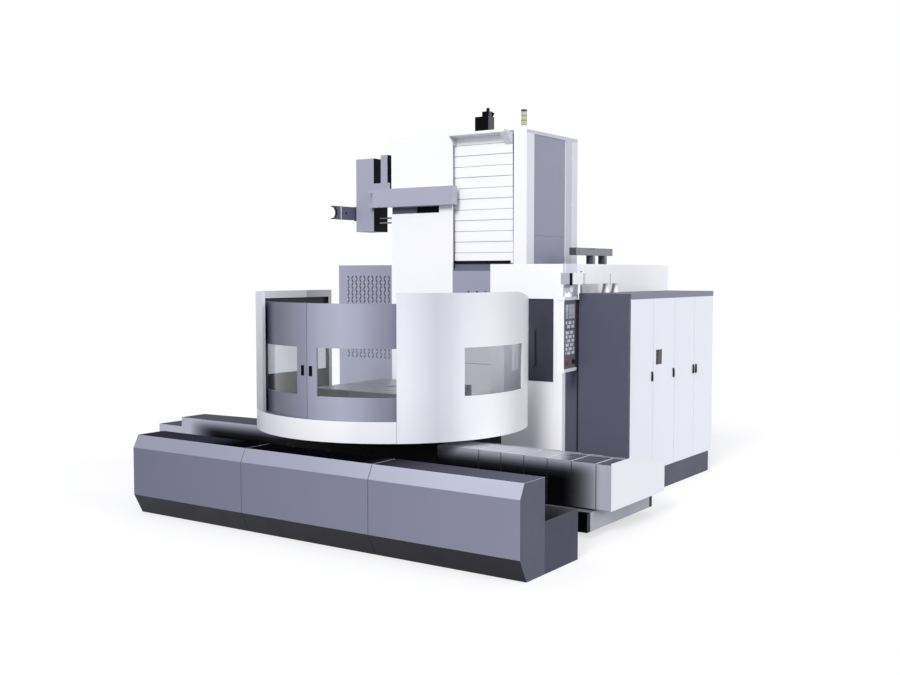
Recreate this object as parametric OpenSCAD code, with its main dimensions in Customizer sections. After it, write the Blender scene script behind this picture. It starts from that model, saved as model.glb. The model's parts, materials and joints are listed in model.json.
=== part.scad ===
// Table-type horizontal boring mill: an X bed with a rotary table inside a round
// splash guard, a column that travels along Y behind it, and a headstock on the column.
// Frame: origin on the floor under the rotary table's axis, X along the front bed,
// Y towards the column, Z up. Millimetres.

/* [Front splash guard] */
// Length of the guard along X
guard_l = 4388; // [3600:10:5000]
// Distance of the guard's middle to the right of the table axis
guard_shift = 692; // [300:10:900]
// Height of the guard
guard_h = 768; // [640:4:900]
// Distance of the guard's front face from the table axis
guard_front = 2197; // [2100:5:2500]
// Depth of the guard from its front face to its back wall
guard_d = 376; // [280:4:450]
// Height of the lower bevel
low_bevel_h = 188; // [120:4:240]
// How far the lower bevel steps back at the floor
low_bevel_in = 98; // [40:2:140]
// Height of the upper bevel
top_bevel_h = 120; // [60:4:160]
// How far the upper bevel steps back at the top
top_bevel_in = 61; // [30:1:120]
// Sheet thickness of the guard
guard_wall = 5; // [3:0.5:8]
// Shadow gap between two guard panels
guard_gap = 4; // [2:0.5:8]

/* [Chip trough] */
// Depth of the trough behind the guard
trough_d = 545; // [400:5:620]
// Height of the trough
trough_h = 417; // [300:1:520]
// Height of the trough's floor
trough_floor = 60; // [30:5:120]
// Thickness of the trough's walls
trough_wall = 8; // [5:1:14]

/* [X bed] */
// Distance from the table axis to the bed's left end
bed_left = 2960; // [2800:10:3000]
// Distance from the table axis to the bed's right end
bed_right = 2660; // [2500:10:2780]
// Width of the bed's foot flange
bed_w = 1240; // [1180:10:1260]
// Height of the bed's foot flange
bed_flange_h = 170; // [120:5:180]
// Width of the bed's upper body
bed_body_w = 940; // [860:10:980]
// Height of the rails' running face above the floor
x_rail_top = 440; // [420:1:444]
// Height of a rail
rail_h = 40; // [30:1:60]
// Width of a rail
rail_w = 110; // [80:2:140]
// Distance of each X rail from the bed's middle
x_rail_y = 380; // [330:5:400]
// Height of the levelling feet
foot_h = 70; // [50:2:90]
// Side of a square levelling foot
foot_w = 180; // [140:5:220]

/* [X way covers] */
// Width of the largest cover segment
cover_w = 1140; // [1100:2:1160]
// Height of the covers' flat top
cover_top = 684; // [670:1:700]
// Width of the flat part of the top
cover_flat = 355; // [250:5:450]
// Height of the covers at their rear wall
cover_rear_h = 550; // [530:1:600]
// Height of the covers' lower edge
cover_bottom = 260; // [245:1:280]
// Sheet thickness of a cover
cover_t = 3; // [2:0.25:3.5]
// Running gap between two nested covers
cover_gap = 0.4; // [0.3:0.05:0.6]
// Visible length of a middle segment
cover_pitch = 245; // [200:1:260]
// Whole length of a middle segment
cover_len = 345; // [330:1:400]
// Visible length of the fixed right end segment
cover_last = 156; // [120:1:200]
// Distance from the table axis to the right end plate
cover_right = 2836; // [2800:1:2900]
// Distance from the table axis to the left end plate
cover_left = 3028; // [3000:1:3080]
// Distance from the table axis to the outer edge of the large left cover
big_left = 2639; // [2500:1:2690]
// How much lower the left end box is than the large left cover
left_drop = 103; // [60:1:104]

/* [Saddle and rotary table] */
// Length of the saddle along X
saddle_l = 1950; // [1700:10:2000]
// Width of the saddle along Y
saddle_w = 1200; // [1180:10:1240]
// Height of the saddle's top
saddle_top = 755; // [740:1:800]
// Side of the square rotary table
table_w = 1200; // [900:10:1210]
// Thickness of the rotary table
table_h = 250; // [180:5:300]
// Height of the table bearing housing
bearing_h = 145; // [100:5:200]
// Radius of the table bearing housing
bearing_r = 520; // [400:5:560]
// Radius of the table's centring stub in the saddle
stub_r = 120; // [80:2:160]
// Radius of the table's centre bore
centre_bore_r = 50; // [30:1:54]
// Depth of the table's centre bore
centre_bore_depth = 80; // [40:2:120]
// Number of T-slots
slot_n = 8; // [4:2:8]
// Distance between two T-slots
slot_pitch = 150; // [120:5:160]
// Width of a T-slot's neck
slot_w = 22; // [14:1:28]
// Radial running clearance of shafts in their bores
fit = 0.05; // [0.02:0.01:0.08]
// Clearance between flat faces that slide on each other
slide_gap = 0.3; // [0.2:0.05:0.5]

/* [Round enclosure] */
// Outer radius of the round enclosure
ring_r = 1424; // [1400:1:1440]
// Thickness of the enclosure's walls
ring_t = 30; // [16:1:32]
// Height of the white band under the doors
band_h = 205; // [180:1:260]
// Height of the shell above the saddle
shell_h = 1405; // [1300:1:1450]
// Angle at which the left jamb starts, seen from above
jamb_a = -135; // [-136:0.1:-134]
// Angle at which the left jamb ends
jamb_end_a = -118.1; // [-119:0.1:-116]
// Angle of the seam between the two doors
seam_a = -88.6; // [-91:0.1:-86]
// Angle at which the fixed shell starts
shell_a = -51.1; // [-56:0.1:-48]
// Angle at which the fixed shell ends
shell_end_a = 27.5; // [24:0.5:28]
// Height of a door
door_h = 1100; // [1000:1:1110]
// Thickness of a door
door_t = 22; // [14:1:24]
// Radial gap between a door and its neighbour
door_gap = 6; // [4:0.5:8]
// Height of the windows' lower edge
window_low = 1181; // [1150:1:1260]
// Height of the windows
window_h = 459; // [350:1:520]
// Thickness of the window panes
pane_t = 6; // [4:0.5:8]
// Rear end of the left side frame
side_rear = 125; // [100:1:360]
// Height of the side frame's top rail
side_rail_h = 76; // [50:1:90]

/* [Column] */
// Width of the column casting
column_w = 1120; // [1100:2:1140]
// Depth of the column casting
column_d = 1100; // [900:5:1150]
// Distance from the table axis to the column casting's front
column_y = 1800; // [1790:1:1900]
// Height of the column
column_h = 3990; // [3900:1:4100]
// Thickness of the side cladding
clad_t = 38; // [30:1:50]
// Half width of the vertical slat cover
slat_half = 412; // [404:1:420]
// Spacing of the lines on the lower slat covers
slat_h = 127.6; // [120:0.1:130]
// Length of the Z bed along Y
z_bed_l = 3080; // [2950:10:3200]
// Width of the Z bed
z_bed_w = 1180; // [1140:10:1200]
// Height of the Z bed's running face
z_rail_top = 600; // [540:1:640]

/* [Headstock] */
// Width of the headstock
head_w = 766; // [700:2:768]
// Height of the headstock's underside
head_low = 1520; // [1500:1:1560]
// Height of the headstock's front top edge
head_top = 2369; // [2340:1:2380]
// Distance from the table axis to the headstock's front
head_front = 1681; // [1672:1:1700]
// Height of the spindle axis at rest
spindle_z = 1900; // [1860:1:1950]
// Radius of the milling spindle
spindle_r = 110; // [100:1:130]
// Radius of the boring bar
bar_r = 55; // [40:1:65]
// Length of the boring bar
bar_l = 1180; // [1100:5:1220]
// Diameter of the spindle flange's bolt circle
flange_pcd = 220; // [210:1:230]
// Radius of the spindle flange's tapped holes
flange_hole_r = 8; // [6:0.5:9]

/* [Tool changer] */
// Left side of the tool tower, from the table axis
tower_left = 1301; // [1250:1:1310]
// Front of the tool tower
tower_front = 1668; // [1662:1:1690]
// Height of the changer beam's lower edge
beam_low = 3156; // [3100:1:3200]
// Height of the changer beam
beam_h = 222; // [180:1:240]
// Left end of the changer beam
beam_left = 1527; // [1480:1:1560]
// Width of the tall changer housing
housing_w = 283; // [240:1:300]
// Height of the tall changer housing
housing_h = 912; // [800:1:950]
// Length of the gripper plate
gripper_l = 555; // [400:1:560]
// Height of the gripper plate
gripper_h = 164; // [140:1:200]

/* [Fences and operator wall] */
// Height of all fences
fence_h = 2443; // [2400:1:2500]
// Distance from the table axis to the operator wall's front
wall_y = 1081; // [1060:1:1100]
// Left edge of the operator wall
wall_left = 526; // [510:1:560]
// Right edge of the operator wall
wall_right = 1437; // [1400:1:1450]
// Left edge of the hatch
hatch_left = 1010; // [980:1:1040]
// Width of the hatch
hatch_w = 317; // [280:1:330]
// Lower edge of the hatch
hatch_low = 1178; // [1150:1:1250]
// Height of the hatch
hatch_h = 891; // [800:1:940]
// Rear end of the side fence
fence_rear = 3760; // [3700:1:3900]
// Left end of the perforated guard
perf_left = 2237; // [2100:1:2300]
// Distance from the table axis to the perforated guard
perf_y = 1762; // [1700:1:1800]

/* [Electrical cabinet] */
// Left side of the cabinet
cab_x = 1631; // [1620:1:1660]
// Depth of the cabinet
cab_d = 597; // [550:1:650]
// Length of the cabinet
cab_l = 2261; // [2100:1:2400]
// Height of the cabinet without its cap
cab_h = 2075; // [2000:1:2080]
// Height of the plinth
plinth_h = 234; // [180:1:260]
// Height of the cap
cap_h = 58; // [50:1:90]
// Number of cabinet doors
cab_doors = 4;
// Thickness of a cabinet door
cab_door_t = 22; // [16:1:26]

/* [Pendant and boom] */
// Width of the control pendant
pendant_w = 357; // [320:1:380]
// Height of the control pendant
pendant_h = 775; // [700:1:800]
// Thickness of the control pendant
pendant_d = 70; // [60:1:74]
// Height of the pendant's top
pendant_top = 2099; // [2060:1:2110]
// Turn of the pendant about its neck
pendant_turn = 8.5; // [0:0.5:12]
// Radius of the neck tube
neck_r = 25; // [20:1:30]

/* [Hidden] */
$fn = 48;

white = "#EEEFF6";
pale = "#D6D7E2";
grey = "#8C8DA2";
slate = "#5A5A6C";
dark = "#3A3A48";
black = "#15151A";
steel = "#B9BCC4";
glass = "#C8D2DC";
// Overlap of two solids that are one piece
weld = 1;

// Front guard and trough
guard_back = guard_front - guard_d;
guard_left_x = guard_shift - guard_l / 2;
guard_right_x = guard_shift + guard_l / 2;
guard_panels = 3;
panel_l = guard_l / guard_panels;
trough_back = guard_back - trough_d;

// X bed and covers
flange_top = foot_h + bed_flange_h;
bed_body_top = x_rail_top - rail_h;
chip_slot_w = 420;
foot_rows = 6;
foot_inset = 640;
bracket_l = 100;
bracket_d = 60;
z_foot_rows = 4;
cover_step = cover_t + cover_gap;
mid_covers = 5;
end_plate_t = 4;
left_inner = 1400;
shelf_z = 300;
shelf_t = 30;
shelf_w = 600;

// Saddle and table
saddle_half = saddle_l / 2;
saddle_low = x_rail_top + slide_gap;
saddle_skirt = 25;
stub_l = 180;
table_low = saddle_top + bearing_h + slide_gap;
table_top = table_low + table_h;

// Round enclosure
ring_in = ring_r - ring_t;
side_x = ring_r * cos(jamb_a);
jamb_y = ring_r * sin(jamb_a);
band_top = saddle_top + band_h;
shell_top = saddle_top + shell_h;
pan_t = 20;
pan_rear = 334;
track_h = 40;
track_t = 12;
shell_fit = 0.5;
door_low = band_top + slide_gap;
right_door_r = ring_in - door_gap;
left_door_r = right_door_r - door_t - door_gap;
left_door_a = -125;
right_door_end_a = shell_a + 3.6;
left_window_a = [-122, -95.1];
right_window_a = [-83.8, shell_a + 0.6];
shell_window_a = [-24, 14];
pocket_z = 1366;
pocket_h = 99;
pocket_deg = 1.7;
pocket_in = 3.2;
seam_deg = 0.12;
side_post = 50;
side_sill = 1290;
side_valance = 130;
side_sheet = 12;
slope_y = 235;
slope_deg = 8;

// Column
column_half = column_w / 2;
clad_x = column_half + clad_t;
column_rear = column_y + column_d;
clad_front = column_y - 59;
clad_rear = column_rear + 70;
strip_t = 19;
strip_d = 153;
rear_strip_d = 307;
panel_recess = 6;
roof_t = 40;
roof_low = column_h - roof_t;
base_low = z_rail_top + slide_gap;
column_foot_h = 200;
foot_top = base_low + column_foot_h;
z_rail_x = 470;
v_rail_t = 30;
v_rail_x = 375;
v_rail_w = 90;
column_wall = 130;
ram_half = 240;
ram_play = 12;
canopy_d = 156;
canopy_h = 30;
canopy_rear_h = 47;
canopy_lip = 8;
canopy_side_gap = 1;
gusset_w = [14, 96];
gusset_drop = 160;

// Slat covers
slat_t = 3;
slat_step = slat_t + 0.4;
slat_front = clad_front - 6;
slat_lap = 50;
line_w = 4;
upper_panels = 5;
roof_rise = 89;
head_slat_low = head_top + roof_rise;
panel_h = (column_h - canopy_lip - head_slat_low) / (upper_panels + 1);
low_slat_h = 693;
low_slat_ratio = 0.5;
slat_pack = slat_front + upper_panels * slat_step + slat_t;

// Headstock and spindle
head_back = column_y - v_rail_t - slide_gap;
backing_h = 40;
hanger_h = 6;
ram_half_h = 300;
ram_rear_in = 250;
ram_low = spindle_z - ram_half_h;
ram_high = spindle_z + ram_half_h;
ram_rear = column_rear - ram_rear_in;
nose_r = 180;
nose_l = 160;
flange_r = 140;
flange_t = 45;
flange_hole_depth = 32;
nozzle_r = 12;
nozzle_drop = 247;
nozzle_z = head_top - nozzle_drop;
spindle_front = head_front - nose_l - slide_gap;
taper_front_r = 34.925;
taper_back_r = 19.8;
taper_l = 107;
draw_hole_r = 14;
bar_out = 60;

// Roof fittings
motor_x = -152;
motor_y = clad_front + 60;
motor_w = 188;
motor_d = 130;
motor_h = 198;
motor_cap_h = 58;
beacon_x = 524;
beacon_y = clad_front + 60;
beacon_r = 33;
beacon_base_h = 50;
beacon_lens_h = 165;
beacon_cap_h = 16;
beacon_parts = 3;
eye_x = 450;
eye_rear_in = 130;
eye_y = column_rear - eye_rear_in;
eye_hole_r = 15;
eye_depth = 60;

// Tool changer
tower_right = column_half;
tower_face_right = 385;
tower_face_t = 22;
tower_d = 800;
tower_low = 900;
tower_wall = 6;
slot_low = beam_low - 85;
beam_front = tower_front - 94;
beam_right = 316;
claw_w = 73;
claw_h = 44;
housing_x = -beam_left - 53;
housing_z = 2864;
housing_d = 281;
cyl_x = -1468;
cyl_w = 105;
cyl_d = 97;
cyl_z = 3461;
cyl_top = 3806;
cyl_seat = 40;
guide_t = 12;
rod_r = 11;
rod_drop = [123, 182];
rod_z = [for (drop = rod_drop) beam_low - drop];
rod_y = tower_front + 130;
rod_l = 780;
gripper_t = 40;
gripper_z = 3012;
gripper_rear = tower_front + 122;
finger_in = 10;
slide_l = 80;
slide_t = 60;
finger_r = 70;
claw_hole_r = 14;
claw_hole_in = 247;

// Fences
fence_t = 30;
filler_x = wall_right + fence_t;
filler_gap = 20;
gate_w = 357;
gate_rail_h = 78;
hatch_gap = 1.5;
hatch_t = 14;
grip_x = hatch_left + 83;
grip_low = 1350;
grip_h = 400;
grip_r = 12;
grip_out = 25;
perf_right = tower_left + 20;
perf_t = 8;
perf_cols = 12;
perf_rows = 24;
perf_pitch_x = 66;
perf_pitch_z = 44;
perf_top = 130;
perf_side = 30;
perf_slot_l = 48;
perf_slot_w = 15;
perf_slot_a = 50;
perf_back_t = 3;
perf_post = 50;
bridge_x = 963;
bridge_y = [2179, 3127];
bridge_w = 90;
bridge_top = 2641;
bridge_h = 88;
bridge_box_l = [300, 480];
bridge_post_y = [2632, 2944];
bridge_post_r = 54;

// Cabinet
cab_wall = 4;
cab_x1 = cab_x + cab_d;
cab_y1 = wall_y + cab_l;
cab_door_w = cab_l / cab_doors;
cab_top = cab_h + cap_h;
cab_gap = 3;
plinth_rear_in = 100;
plate_x = 60;
plate_t = 6;
plate_margin = 80;
latch_z = 1200;
latch_h = 97;
latch_w = 30;
latch_out = 12;
port_z = [1364, 1524];
port_y = [67, 217];

// Pendant and boom
neck_x = 1614;
neck_y = 876;
boom_clear = 98;
pendant_clear = 130;
boom_x = 1634;
boom_w = 90;
boom_low = max(cab_top + boom_clear, pendant_top + pendant_clear);
boom_h = 121;
boom_y = 1066;
boom_end = 1802;
boom_feet = [1600, 1820];
joint_x = 1580;
joint_y = [775, 1040];
swivel_x = [1584, 1655];
swivel_y = [841, 911];
swivel_drop = 81;
swivel_low = boom_low - swivel_drop;
pendant_low = pendant_top - pendant_h;
collar_h = 36;
collar_r = 36;
face_x = 22;
cap_t = 32;
cap_out = 8;
screen_w = 260;
screen_h = 150;
screen_drop = 225;
screen_z = pendant_top - screen_drop;
key_rows = 6;
key_cols = 6;
key_w = 30;
key_pitch = 42;
key_z = pendant_low + 180;
control_z = pendant_low + 100;
stop_y = -110;
knob_y = 80;
stem_r = 8;
stem_l = 24;
stem_hole = 30;

// A block given by its two corners
module block(x0, x1, y0, y1, z0, z1) {
  translate([x0, y0, z0]) cube([x1 - x0, y1 - y0, z1 - z0]);
}

// A wall on a circle about the Z axis
module arc_wall(r0, r1, a0, a1, z0, z1) {
  rotate([0, 0, a0])
    rotate_extrude(angle = a1 - a0, $fn = 120)
      translate([r0, z0]) square([r1 - r0, z1 - z0]);
}

// A round bar along Y
module y_bar(r, x, z, y0, y1) {
  translate([x, y0, z]) rotate([-90, 0, 0]) cylinder(r = r, h = y1 - y0);
}

// A flat outline in Y and Z, drawn out along X
module along_x(x0, x1) {
  translate([x0, 0, 0]) rotate([90, 0, 90]) linear_extrude(x1 - x0) children();
}

// ---- Front splash guard ----

module guard_outline(t) {
  slope = low_bevel_in / low_bevel_h;
  polygon([
    [-guard_back - t, t],
    [-guard_front + low_bevel_in + t * (1.1 - slope), t],
    [-guard_front + t, low_bevel_h + t * 0.2],
    [-guard_front + t, guard_h - top_bevel_h - t * 0.2],
    [-guard_front + top_bevel_in + t * 0.8, guard_h - t],
    [-guard_back - t, guard_h - t]]);
}

// Hollow folded panel i, closed at the guard's own ends
module guard_panel(i) {
  first = i == 0;
  last = i == guard_panels - 1;
  x0 = guard_left_x + i * panel_l + (first ? 0 : guard_gap / 2);
  x1 = guard_left_x + (i + 1) * panel_l - (last ? 0 : guard_gap / 2);
  color(grey) difference() {
    along_x(x0, x1) guard_outline(0);
    along_x(first ? x0 + guard_wall : x0 - 1, last ? x1 - guard_wall : x1 + 1)
      guard_outline(guard_wall);
  }
}

// Open trough for chips and coolant behind the guard
module chip_trough() {
  color(slate) difference() {
    block(guard_left_x, guard_right_x, -guard_back, -trough_back, 0, trough_h);
    block(guard_left_x + trough_wall, guard_right_x - trough_wall,
      -guard_back + trough_wall, -trough_back - trough_wall, trough_floor, trough_h + 1);
  }
}

// ---- Beds ----

module x_bed() {
  color(slate) difference() {
    union() {
      block(-bed_left, bed_right, -bed_w / 2, bed_w / 2, foot_h, flange_top);
      block(-bed_left, bed_right, -bed_body_w / 2, bed_body_w / 2,
        flange_top, bed_body_top);
      for (s = [-1, 1])
        block(-bed_left, bed_right, s * x_rail_y - rail_w / 2, s * x_rail_y + rail_w / 2,
          bed_body_top, x_rail_top);
    }
    block(-bed_left - 1, bed_right + 1, -chip_slot_w / 2, chip_slot_w / 2,
      flange_top, bed_body_top + 1);
  }
}

// A square levelling foot at a place on the floor
module foot(x, y) {
  block(x - foot_w / 2, x + foot_w / 2, y - foot_w / 2, y + foot_w / 2, 0, foot_h);
}

// Feet under both beds, with one under the table's axis, and the bed's end brackets
module levelling_feet() {
  x_span = bed_left + bed_right - 2 * foot_inset;
  y_span = z_bed_l - 2 * foot_w;
  color(black) {
    foot(0, 0);
    for (s = [-1, 1]) {
      for (i = [0 : foot_rows - 1])
        foot(-bed_left + foot_inset + i * x_span / (foot_rows - 1), s * (bed_w / 2 - foot_w));
      for (i = [0 : z_foot_rows - 1])
        foot(s * (z_bed_w / 2 - foot_w), bed_w / 2 + foot_w + i * y_span / (z_foot_rows - 1));
      for (x = [-bed_left, bed_right - bracket_l])
        block(x, x + bracket_l, s > 0 ? bed_w / 2 : -bed_w / 2 - bracket_d,
          s > 0 ? bed_w / 2 + bracket_d : -bed_w / 2, foot_h, flange_top);
    }
  }
}

module z_bed() {
  y0 = bed_w / 2;
  color(slate) {
    block(-z_bed_w / 2, z_bed_w / 2, y0, y0 + z_bed_l, foot_h, z_rail_top - rail_h);
    for (s = [-1, 1])
      block(s * z_rail_x - rail_w / 2, s * z_rail_x + rail_w / 2, y0 + rail_w, y0 + z_bed_l,
        z_rail_top - rail_h - weld, z_rail_top);
  }
}

// ---- X way covers ----

module cover_outline(d, drop) {
  w = cover_w / 2;
  polygon([
    [-w + d, cover_bottom],
    [-w + d, cover_top - drop - d],
    [-w + cover_flat, cover_top - drop - d],
    [w - d, cover_rear_h - drop - d],
    [w - d, cover_bottom]]);
}

// A folded sheet roof with two side walls, open below and at both ends
module cover_shell(x0, x1, d, drop) {
  w = cover_w / 2 - d - cover_t;
  difference() {
    along_x(x0, x1) cover_outline(d, drop);
    along_x(x0 - 1, x1 + 1) cover_outline(d + cover_t, drop);
    block(x0 - 1, x1 + 1, -w, w, cover_bottom - 1, cover_bottom + 1);
  }
}

// Right edge of the middle segment i, counted from the saddle
function cover_edge(i) = cover_right - cover_last - (mid_covers - i) * cover_pitch;

module x_cover(i) {
  color(pale)
    cover_shell(cover_edge(i) - cover_len, cover_edge(i), i * cover_step, 0);
}

// The two covers that the saddle carries, one on each side
module saddle_covers() {
  color(pale) {
    cover_shell(saddle_half, cover_edge(0), 0, 0);
    cover_shell(-big_left, -saddle_half, 0, 0);
  }
}

// Smallest cover with its end plate, on a shelf at the bed's right end
module x_cover_right_end() {
  x1 = cover_right - end_plate_t;
  color(white) {
    cover_shell(cover_right - cover_len, x1, (mid_covers + 1) * cover_step, 0);
    along_x(x1, cover_right) cover_outline(0, 0);
    block(bed_right, x1, -shelf_w / 2, shelf_w / 2, shelf_z, shelf_z + shelf_t);
  }
}

// Low cover that the large left one slides over, on a shelf at the bed's left end
module x_cover_left_end() {
  x0 = -cover_left + end_plate_t;
  color(pale) {
    cover_shell(x0, -left_inner, cover_step, left_drop);
    along_x(-cover_left, x0) cover_outline(cover_step, left_drop);
    block(x0, -bed_left, -shelf_w / 2, shelf_w / 2, shelf_z, shelf_z + shelf_t);
  }
}

// ---- Saddle and table ----

module saddle() {
  color(black) difference() {
    union() {
      block(-saddle_half, saddle_half, -saddle_w / 2, saddle_w / 2, saddle_low, saddle_top);
      for (s = [-1, 1])
        block(-saddle_half, saddle_half,
          s > 0 ? saddle_w / 2 - saddle_skirt : -saddle_w / 2,
          s > 0 ? saddle_w / 2 : -saddle_w / 2 + saddle_skirt,
          cover_bottom, saddle_low + weld);
      translate([0, 0, saddle_top - weld])
        cylinder(r = bearing_r, h = bearing_h + weld, $fn = 96);
    }
    translate([0, 0, table_low - stub_l - 10])
      cylinder(r = stub_r + fit, h = stub_l + 20);
  }
}

// Square T-slot table with the stub that centres it in the saddle
module rotary_table() {
  half = table_w / 2;
  color(steel) difference() {
    union() {
      block(-half, half, -half, half, table_low, table_top);
      translate([0, 0, table_low - stub_l]) cylinder(r = stub_r, h = stub_l + weld);
    }
    for (i = [0 : slot_n - 1])
      let (y = (i - (slot_n - 1) / 2) * slot_pitch) {
        block(-half - 1, half + 1, y - slot_w / 2, y + slot_w / 2,
          table_top - slot_w * 1.6, table_top + 1);
        block(-half - 1, half + 1, y - slot_w * 0.9, y + slot_w * 0.9,
          table_top - slot_w * 2.3, table_top - slot_w * 1.5);
      }
    translate([0, 0, table_top - centre_bore_depth])
      cylinder(r = centre_bore_r, h = centre_bore_depth + 1);
  }
}

// ---- Round enclosure ----

// Plan of the coolant pan: the circle, cut at the left side and at the rear
module pan_plan(r) {
  out = ring_r + 1;
  rear = ring_r * sin(shell_end_a);
  intersection() {
    circle(r = r, $fn = 120);
    polygon([[side_x, -out], [out, -out], [out, rear], [side_x, pan_rear]]);
  }
}

// Pan on the saddle, white band and the door tracks on its inner side
module enclosure_base() {
  track_in = left_door_r - door_t - door_gap;
  color(white) {
    difference() {
      translate([0, 0, saddle_top]) linear_extrude(pan_t) pan_plan(ring_in - track_t / 2);
      translate([0, 0, saddle_top - 1])
        cylinder(r = bearing_r + 15, h = pan_t + 2, $fn = 96);
    }
    arc_wall(ring_in - weld, ring_r, jamb_a, shell_a - seam_deg, saddle_top + weld, band_top);
    arc_wall(ring_in - track_t, ring_in - shell_fit, jamb_a, shell_end_a,
      saddle_top + weld, band_top);
    arc_wall(track_in, ring_in - track_t / 2, jamb_a + 4, shell_end_a - 0.5,
      band_top - track_h, band_top);
  }
}

// Left jamb, and the flat left side's top rail, posts, lintel and lower panel
module side_frame() {
  z1 = shell_top - side_rail_h;
  y0 = jamb_y + 60;
  color(pale) {
    arc_wall(ring_in, ring_r, jamb_a, jamb_end_a, band_top, shell_top - weld);
    block(side_x, side_x + side_post, jamb_y + 6, side_rear, z1 - weld, shell_top);
    block(side_x, side_x + side_post, side_rear - side_post, side_rear,
      saddle_top + pan_t, z1);
    block(side_x, side_x + side_post, y0 - 20, y0 + side_post, saddle_top + pan_t, z1);
    block(side_x, side_x + side_sheet, y0 + side_post, side_rear - side_post,
      saddle_top + pan_t, side_sill);
    block(side_x, side_x + side_sheet, y0 + side_post, side_rear - side_post,
      z1 - side_valance, z1);
  }
}

// Fixed shell with its window; the rear of its top edge slopes down
module right_shell() {
  color(white) difference() {
    arc_wall(ring_in, ring_r, shell_a, shell_end_a, saddle_top, shell_top);
    arc_wall(ring_in - 1, ring_r + 1, shell_window_a[0], shell_window_a[1],
      window_low, window_low + window_h);
    translate([0, slope_y, shell_top]) rotate([-slope_deg, 0, 0])
      block(ring_in * 0.6, 1.1 * ring_r, 0, ring_r, 0, ring_r / 3);
  }
}

// A curved pane in a window from w[0] to w[1] degrees
module curved_pane(r, w) {
  arc_wall(r, r + pane_t, w[0], w[1], window_low, window_low + window_h);
}

// Pane of the shell's window and pane of the flat left side
module fixed_windows() {
  color(glass) {
    curved_pane(ring_r - ring_t * 0.6, shell_window_a);
    block(side_x + 3, side_x + 3 + pane_t, jamb_y + 60 + side_post, side_rear - side_post,
      side_sill, shell_top - side_rail_h - side_valance);
  }
}

// Curved sliding door with a window and a hand pocket
module door(r1, a0, a1, win, pocket_a) {
  color(grey) difference() {
    arc_wall(r1 - door_t, r1, a0, a1, door_low, door_low + door_h);
    arc_wall(r1 - door_t - 1, r1 + 1, win[0], win[1], window_low, window_low + window_h);
    arc_wall(r1 - door_t * 0.7, r1 + 1, pocket_a, pocket_a + pocket_deg,
      pocket_z, pocket_z + pocket_h);
  }
}

module left_door() {
  door(left_door_r, left_door_a, seam_a + 0.5, left_window_a, seam_a - 4.2);
}

module right_door() {
  door(right_door_r, seam_a, right_door_end_a, right_window_a, seam_a + 1);
}

module left_door_pane() {
  color(glass) curved_pane(left_door_r - door_t * 0.75, left_window_a);
}

module right_door_pane() {
  color(glass) curved_pane(right_door_r - door_t * 0.75, right_window_a);
}

// ---- Column ----

// Cast column: a wide foot, and a box that is open at the front for the ram
module column() {
  color(slate) difference() {
    union() {
      block(-column_half, column_half, clad_front + 40, clad_rear - 20, base_low, foot_top);
      block(-column_half, column_half, column_y, column_rear, foot_top - weld, roof_low);
      for (s = [-1, 1])
        block(s * v_rail_x - v_rail_w / 2, s * v_rail_x + v_rail_w / 2,
          column_y - v_rail_t, column_y + weld, foot_top, roof_low);
    }
    block(-ram_half - ram_play, ram_half + ram_play, column_y - 1, column_rear - column_wall,
      foot_top + 60, roof_low - 60);
  }
}

// White cladding strips at the column's corners
module column_cladding() {
  y1 = clad_front + strip_t;
  y2 = clad_rear - rear_strip_d;
  color(white) {
    block(slat_half + ram_play, clad_x, clad_front, y1, foot_top, roof_low);
    block(column_half, clad_x, y1 - weld, y1 + strip_d, base_low, roof_low);
    for (s = [-1, 1])
      block(s > 0 ? column_half : -clad_x, s > 0 ? clad_x : -column_half,
        y2, clad_rear, base_low, roof_low);
  }
}

// Grey panels between the cladding strips
module column_side_panels() {
  y2 = clad_rear - rear_strip_d;
  color(grey) {
    block(column_half, clad_x - panel_recess, clad_front + strip_t + strip_d, y2,
      base_low, roof_low);
    block(-clad_x + panel_recess, -column_half, tower_front + tower_d, y2,
      base_low, roof_low);
  }
}

// Roof plate with lifting-eye holes, and the canopy over the slat covers
module roof_and_canopy() {
  y0 = clad_front - canopy_d;
  y1 = slat_front - 1;
  y2 = tower_front + tower_d;
  y3 = tower_front + tower_face_t + canopy_side_gap;
  x0 = -tower_face_right + canopy_side_gap;
  x1 = tower_face_right;
  z0 = column_h - canopy_h;
  color(white) difference() {
    union() {
      block(-tower_right, clad_x, slat_pack + 2, y2 + weld, roof_low, column_h);
      block(-clad_x, clad_x, y2, clad_rear, roof_low, column_h);
      block(slat_half + ram_play, clad_x, clad_front, slat_pack + 3, roof_low, column_h);
      block(-slat_half, slat_half + ram_play + weld, y3, slat_pack + 3,
        column_h - canopy_lip, column_h);
      along_x(x0, x1)
        polygon([[y0, z0], [y1, column_h - canopy_rear_h], [y1, column_h], [y0, column_h]]);
      for (i = [0, 1])
        along_x(i == 0 ? x0 : slat_half - gusset_w[1], i == 0 ? x0 + gusset_w[0] : slat_half)
          polygon([[y0, z0 + weld], [y0, z0], [y1, column_h - gusset_drop], [y1, z0 + weld]]);
    }
    for (s = [-1, 1])
      translate([s * eye_x, eye_y, column_h - roof_t - 1])
        cylinder(r = eye_hole_r, h = roof_t + 2);
  }
}

// Flat slat panel: a plate with a pressed line between its two slats
module slat_panel(z0, h, layer, line_z) {
  y0 = slat_front + layer * slat_step;
  difference() {
    block(-slat_half, slat_half, y0, y0 + slat_t, z0, z0 + h);
    block(-slat_half - 1, slat_half + 1, y0 - 1, y0 + slat_t / 2,
      line_z - line_w / 2, line_z + line_w / 2);
  }
}

// Lower edge of the upper panel i, counted from the headstock
function panel_z(i) = head_slat_low + i * panel_h;

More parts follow.
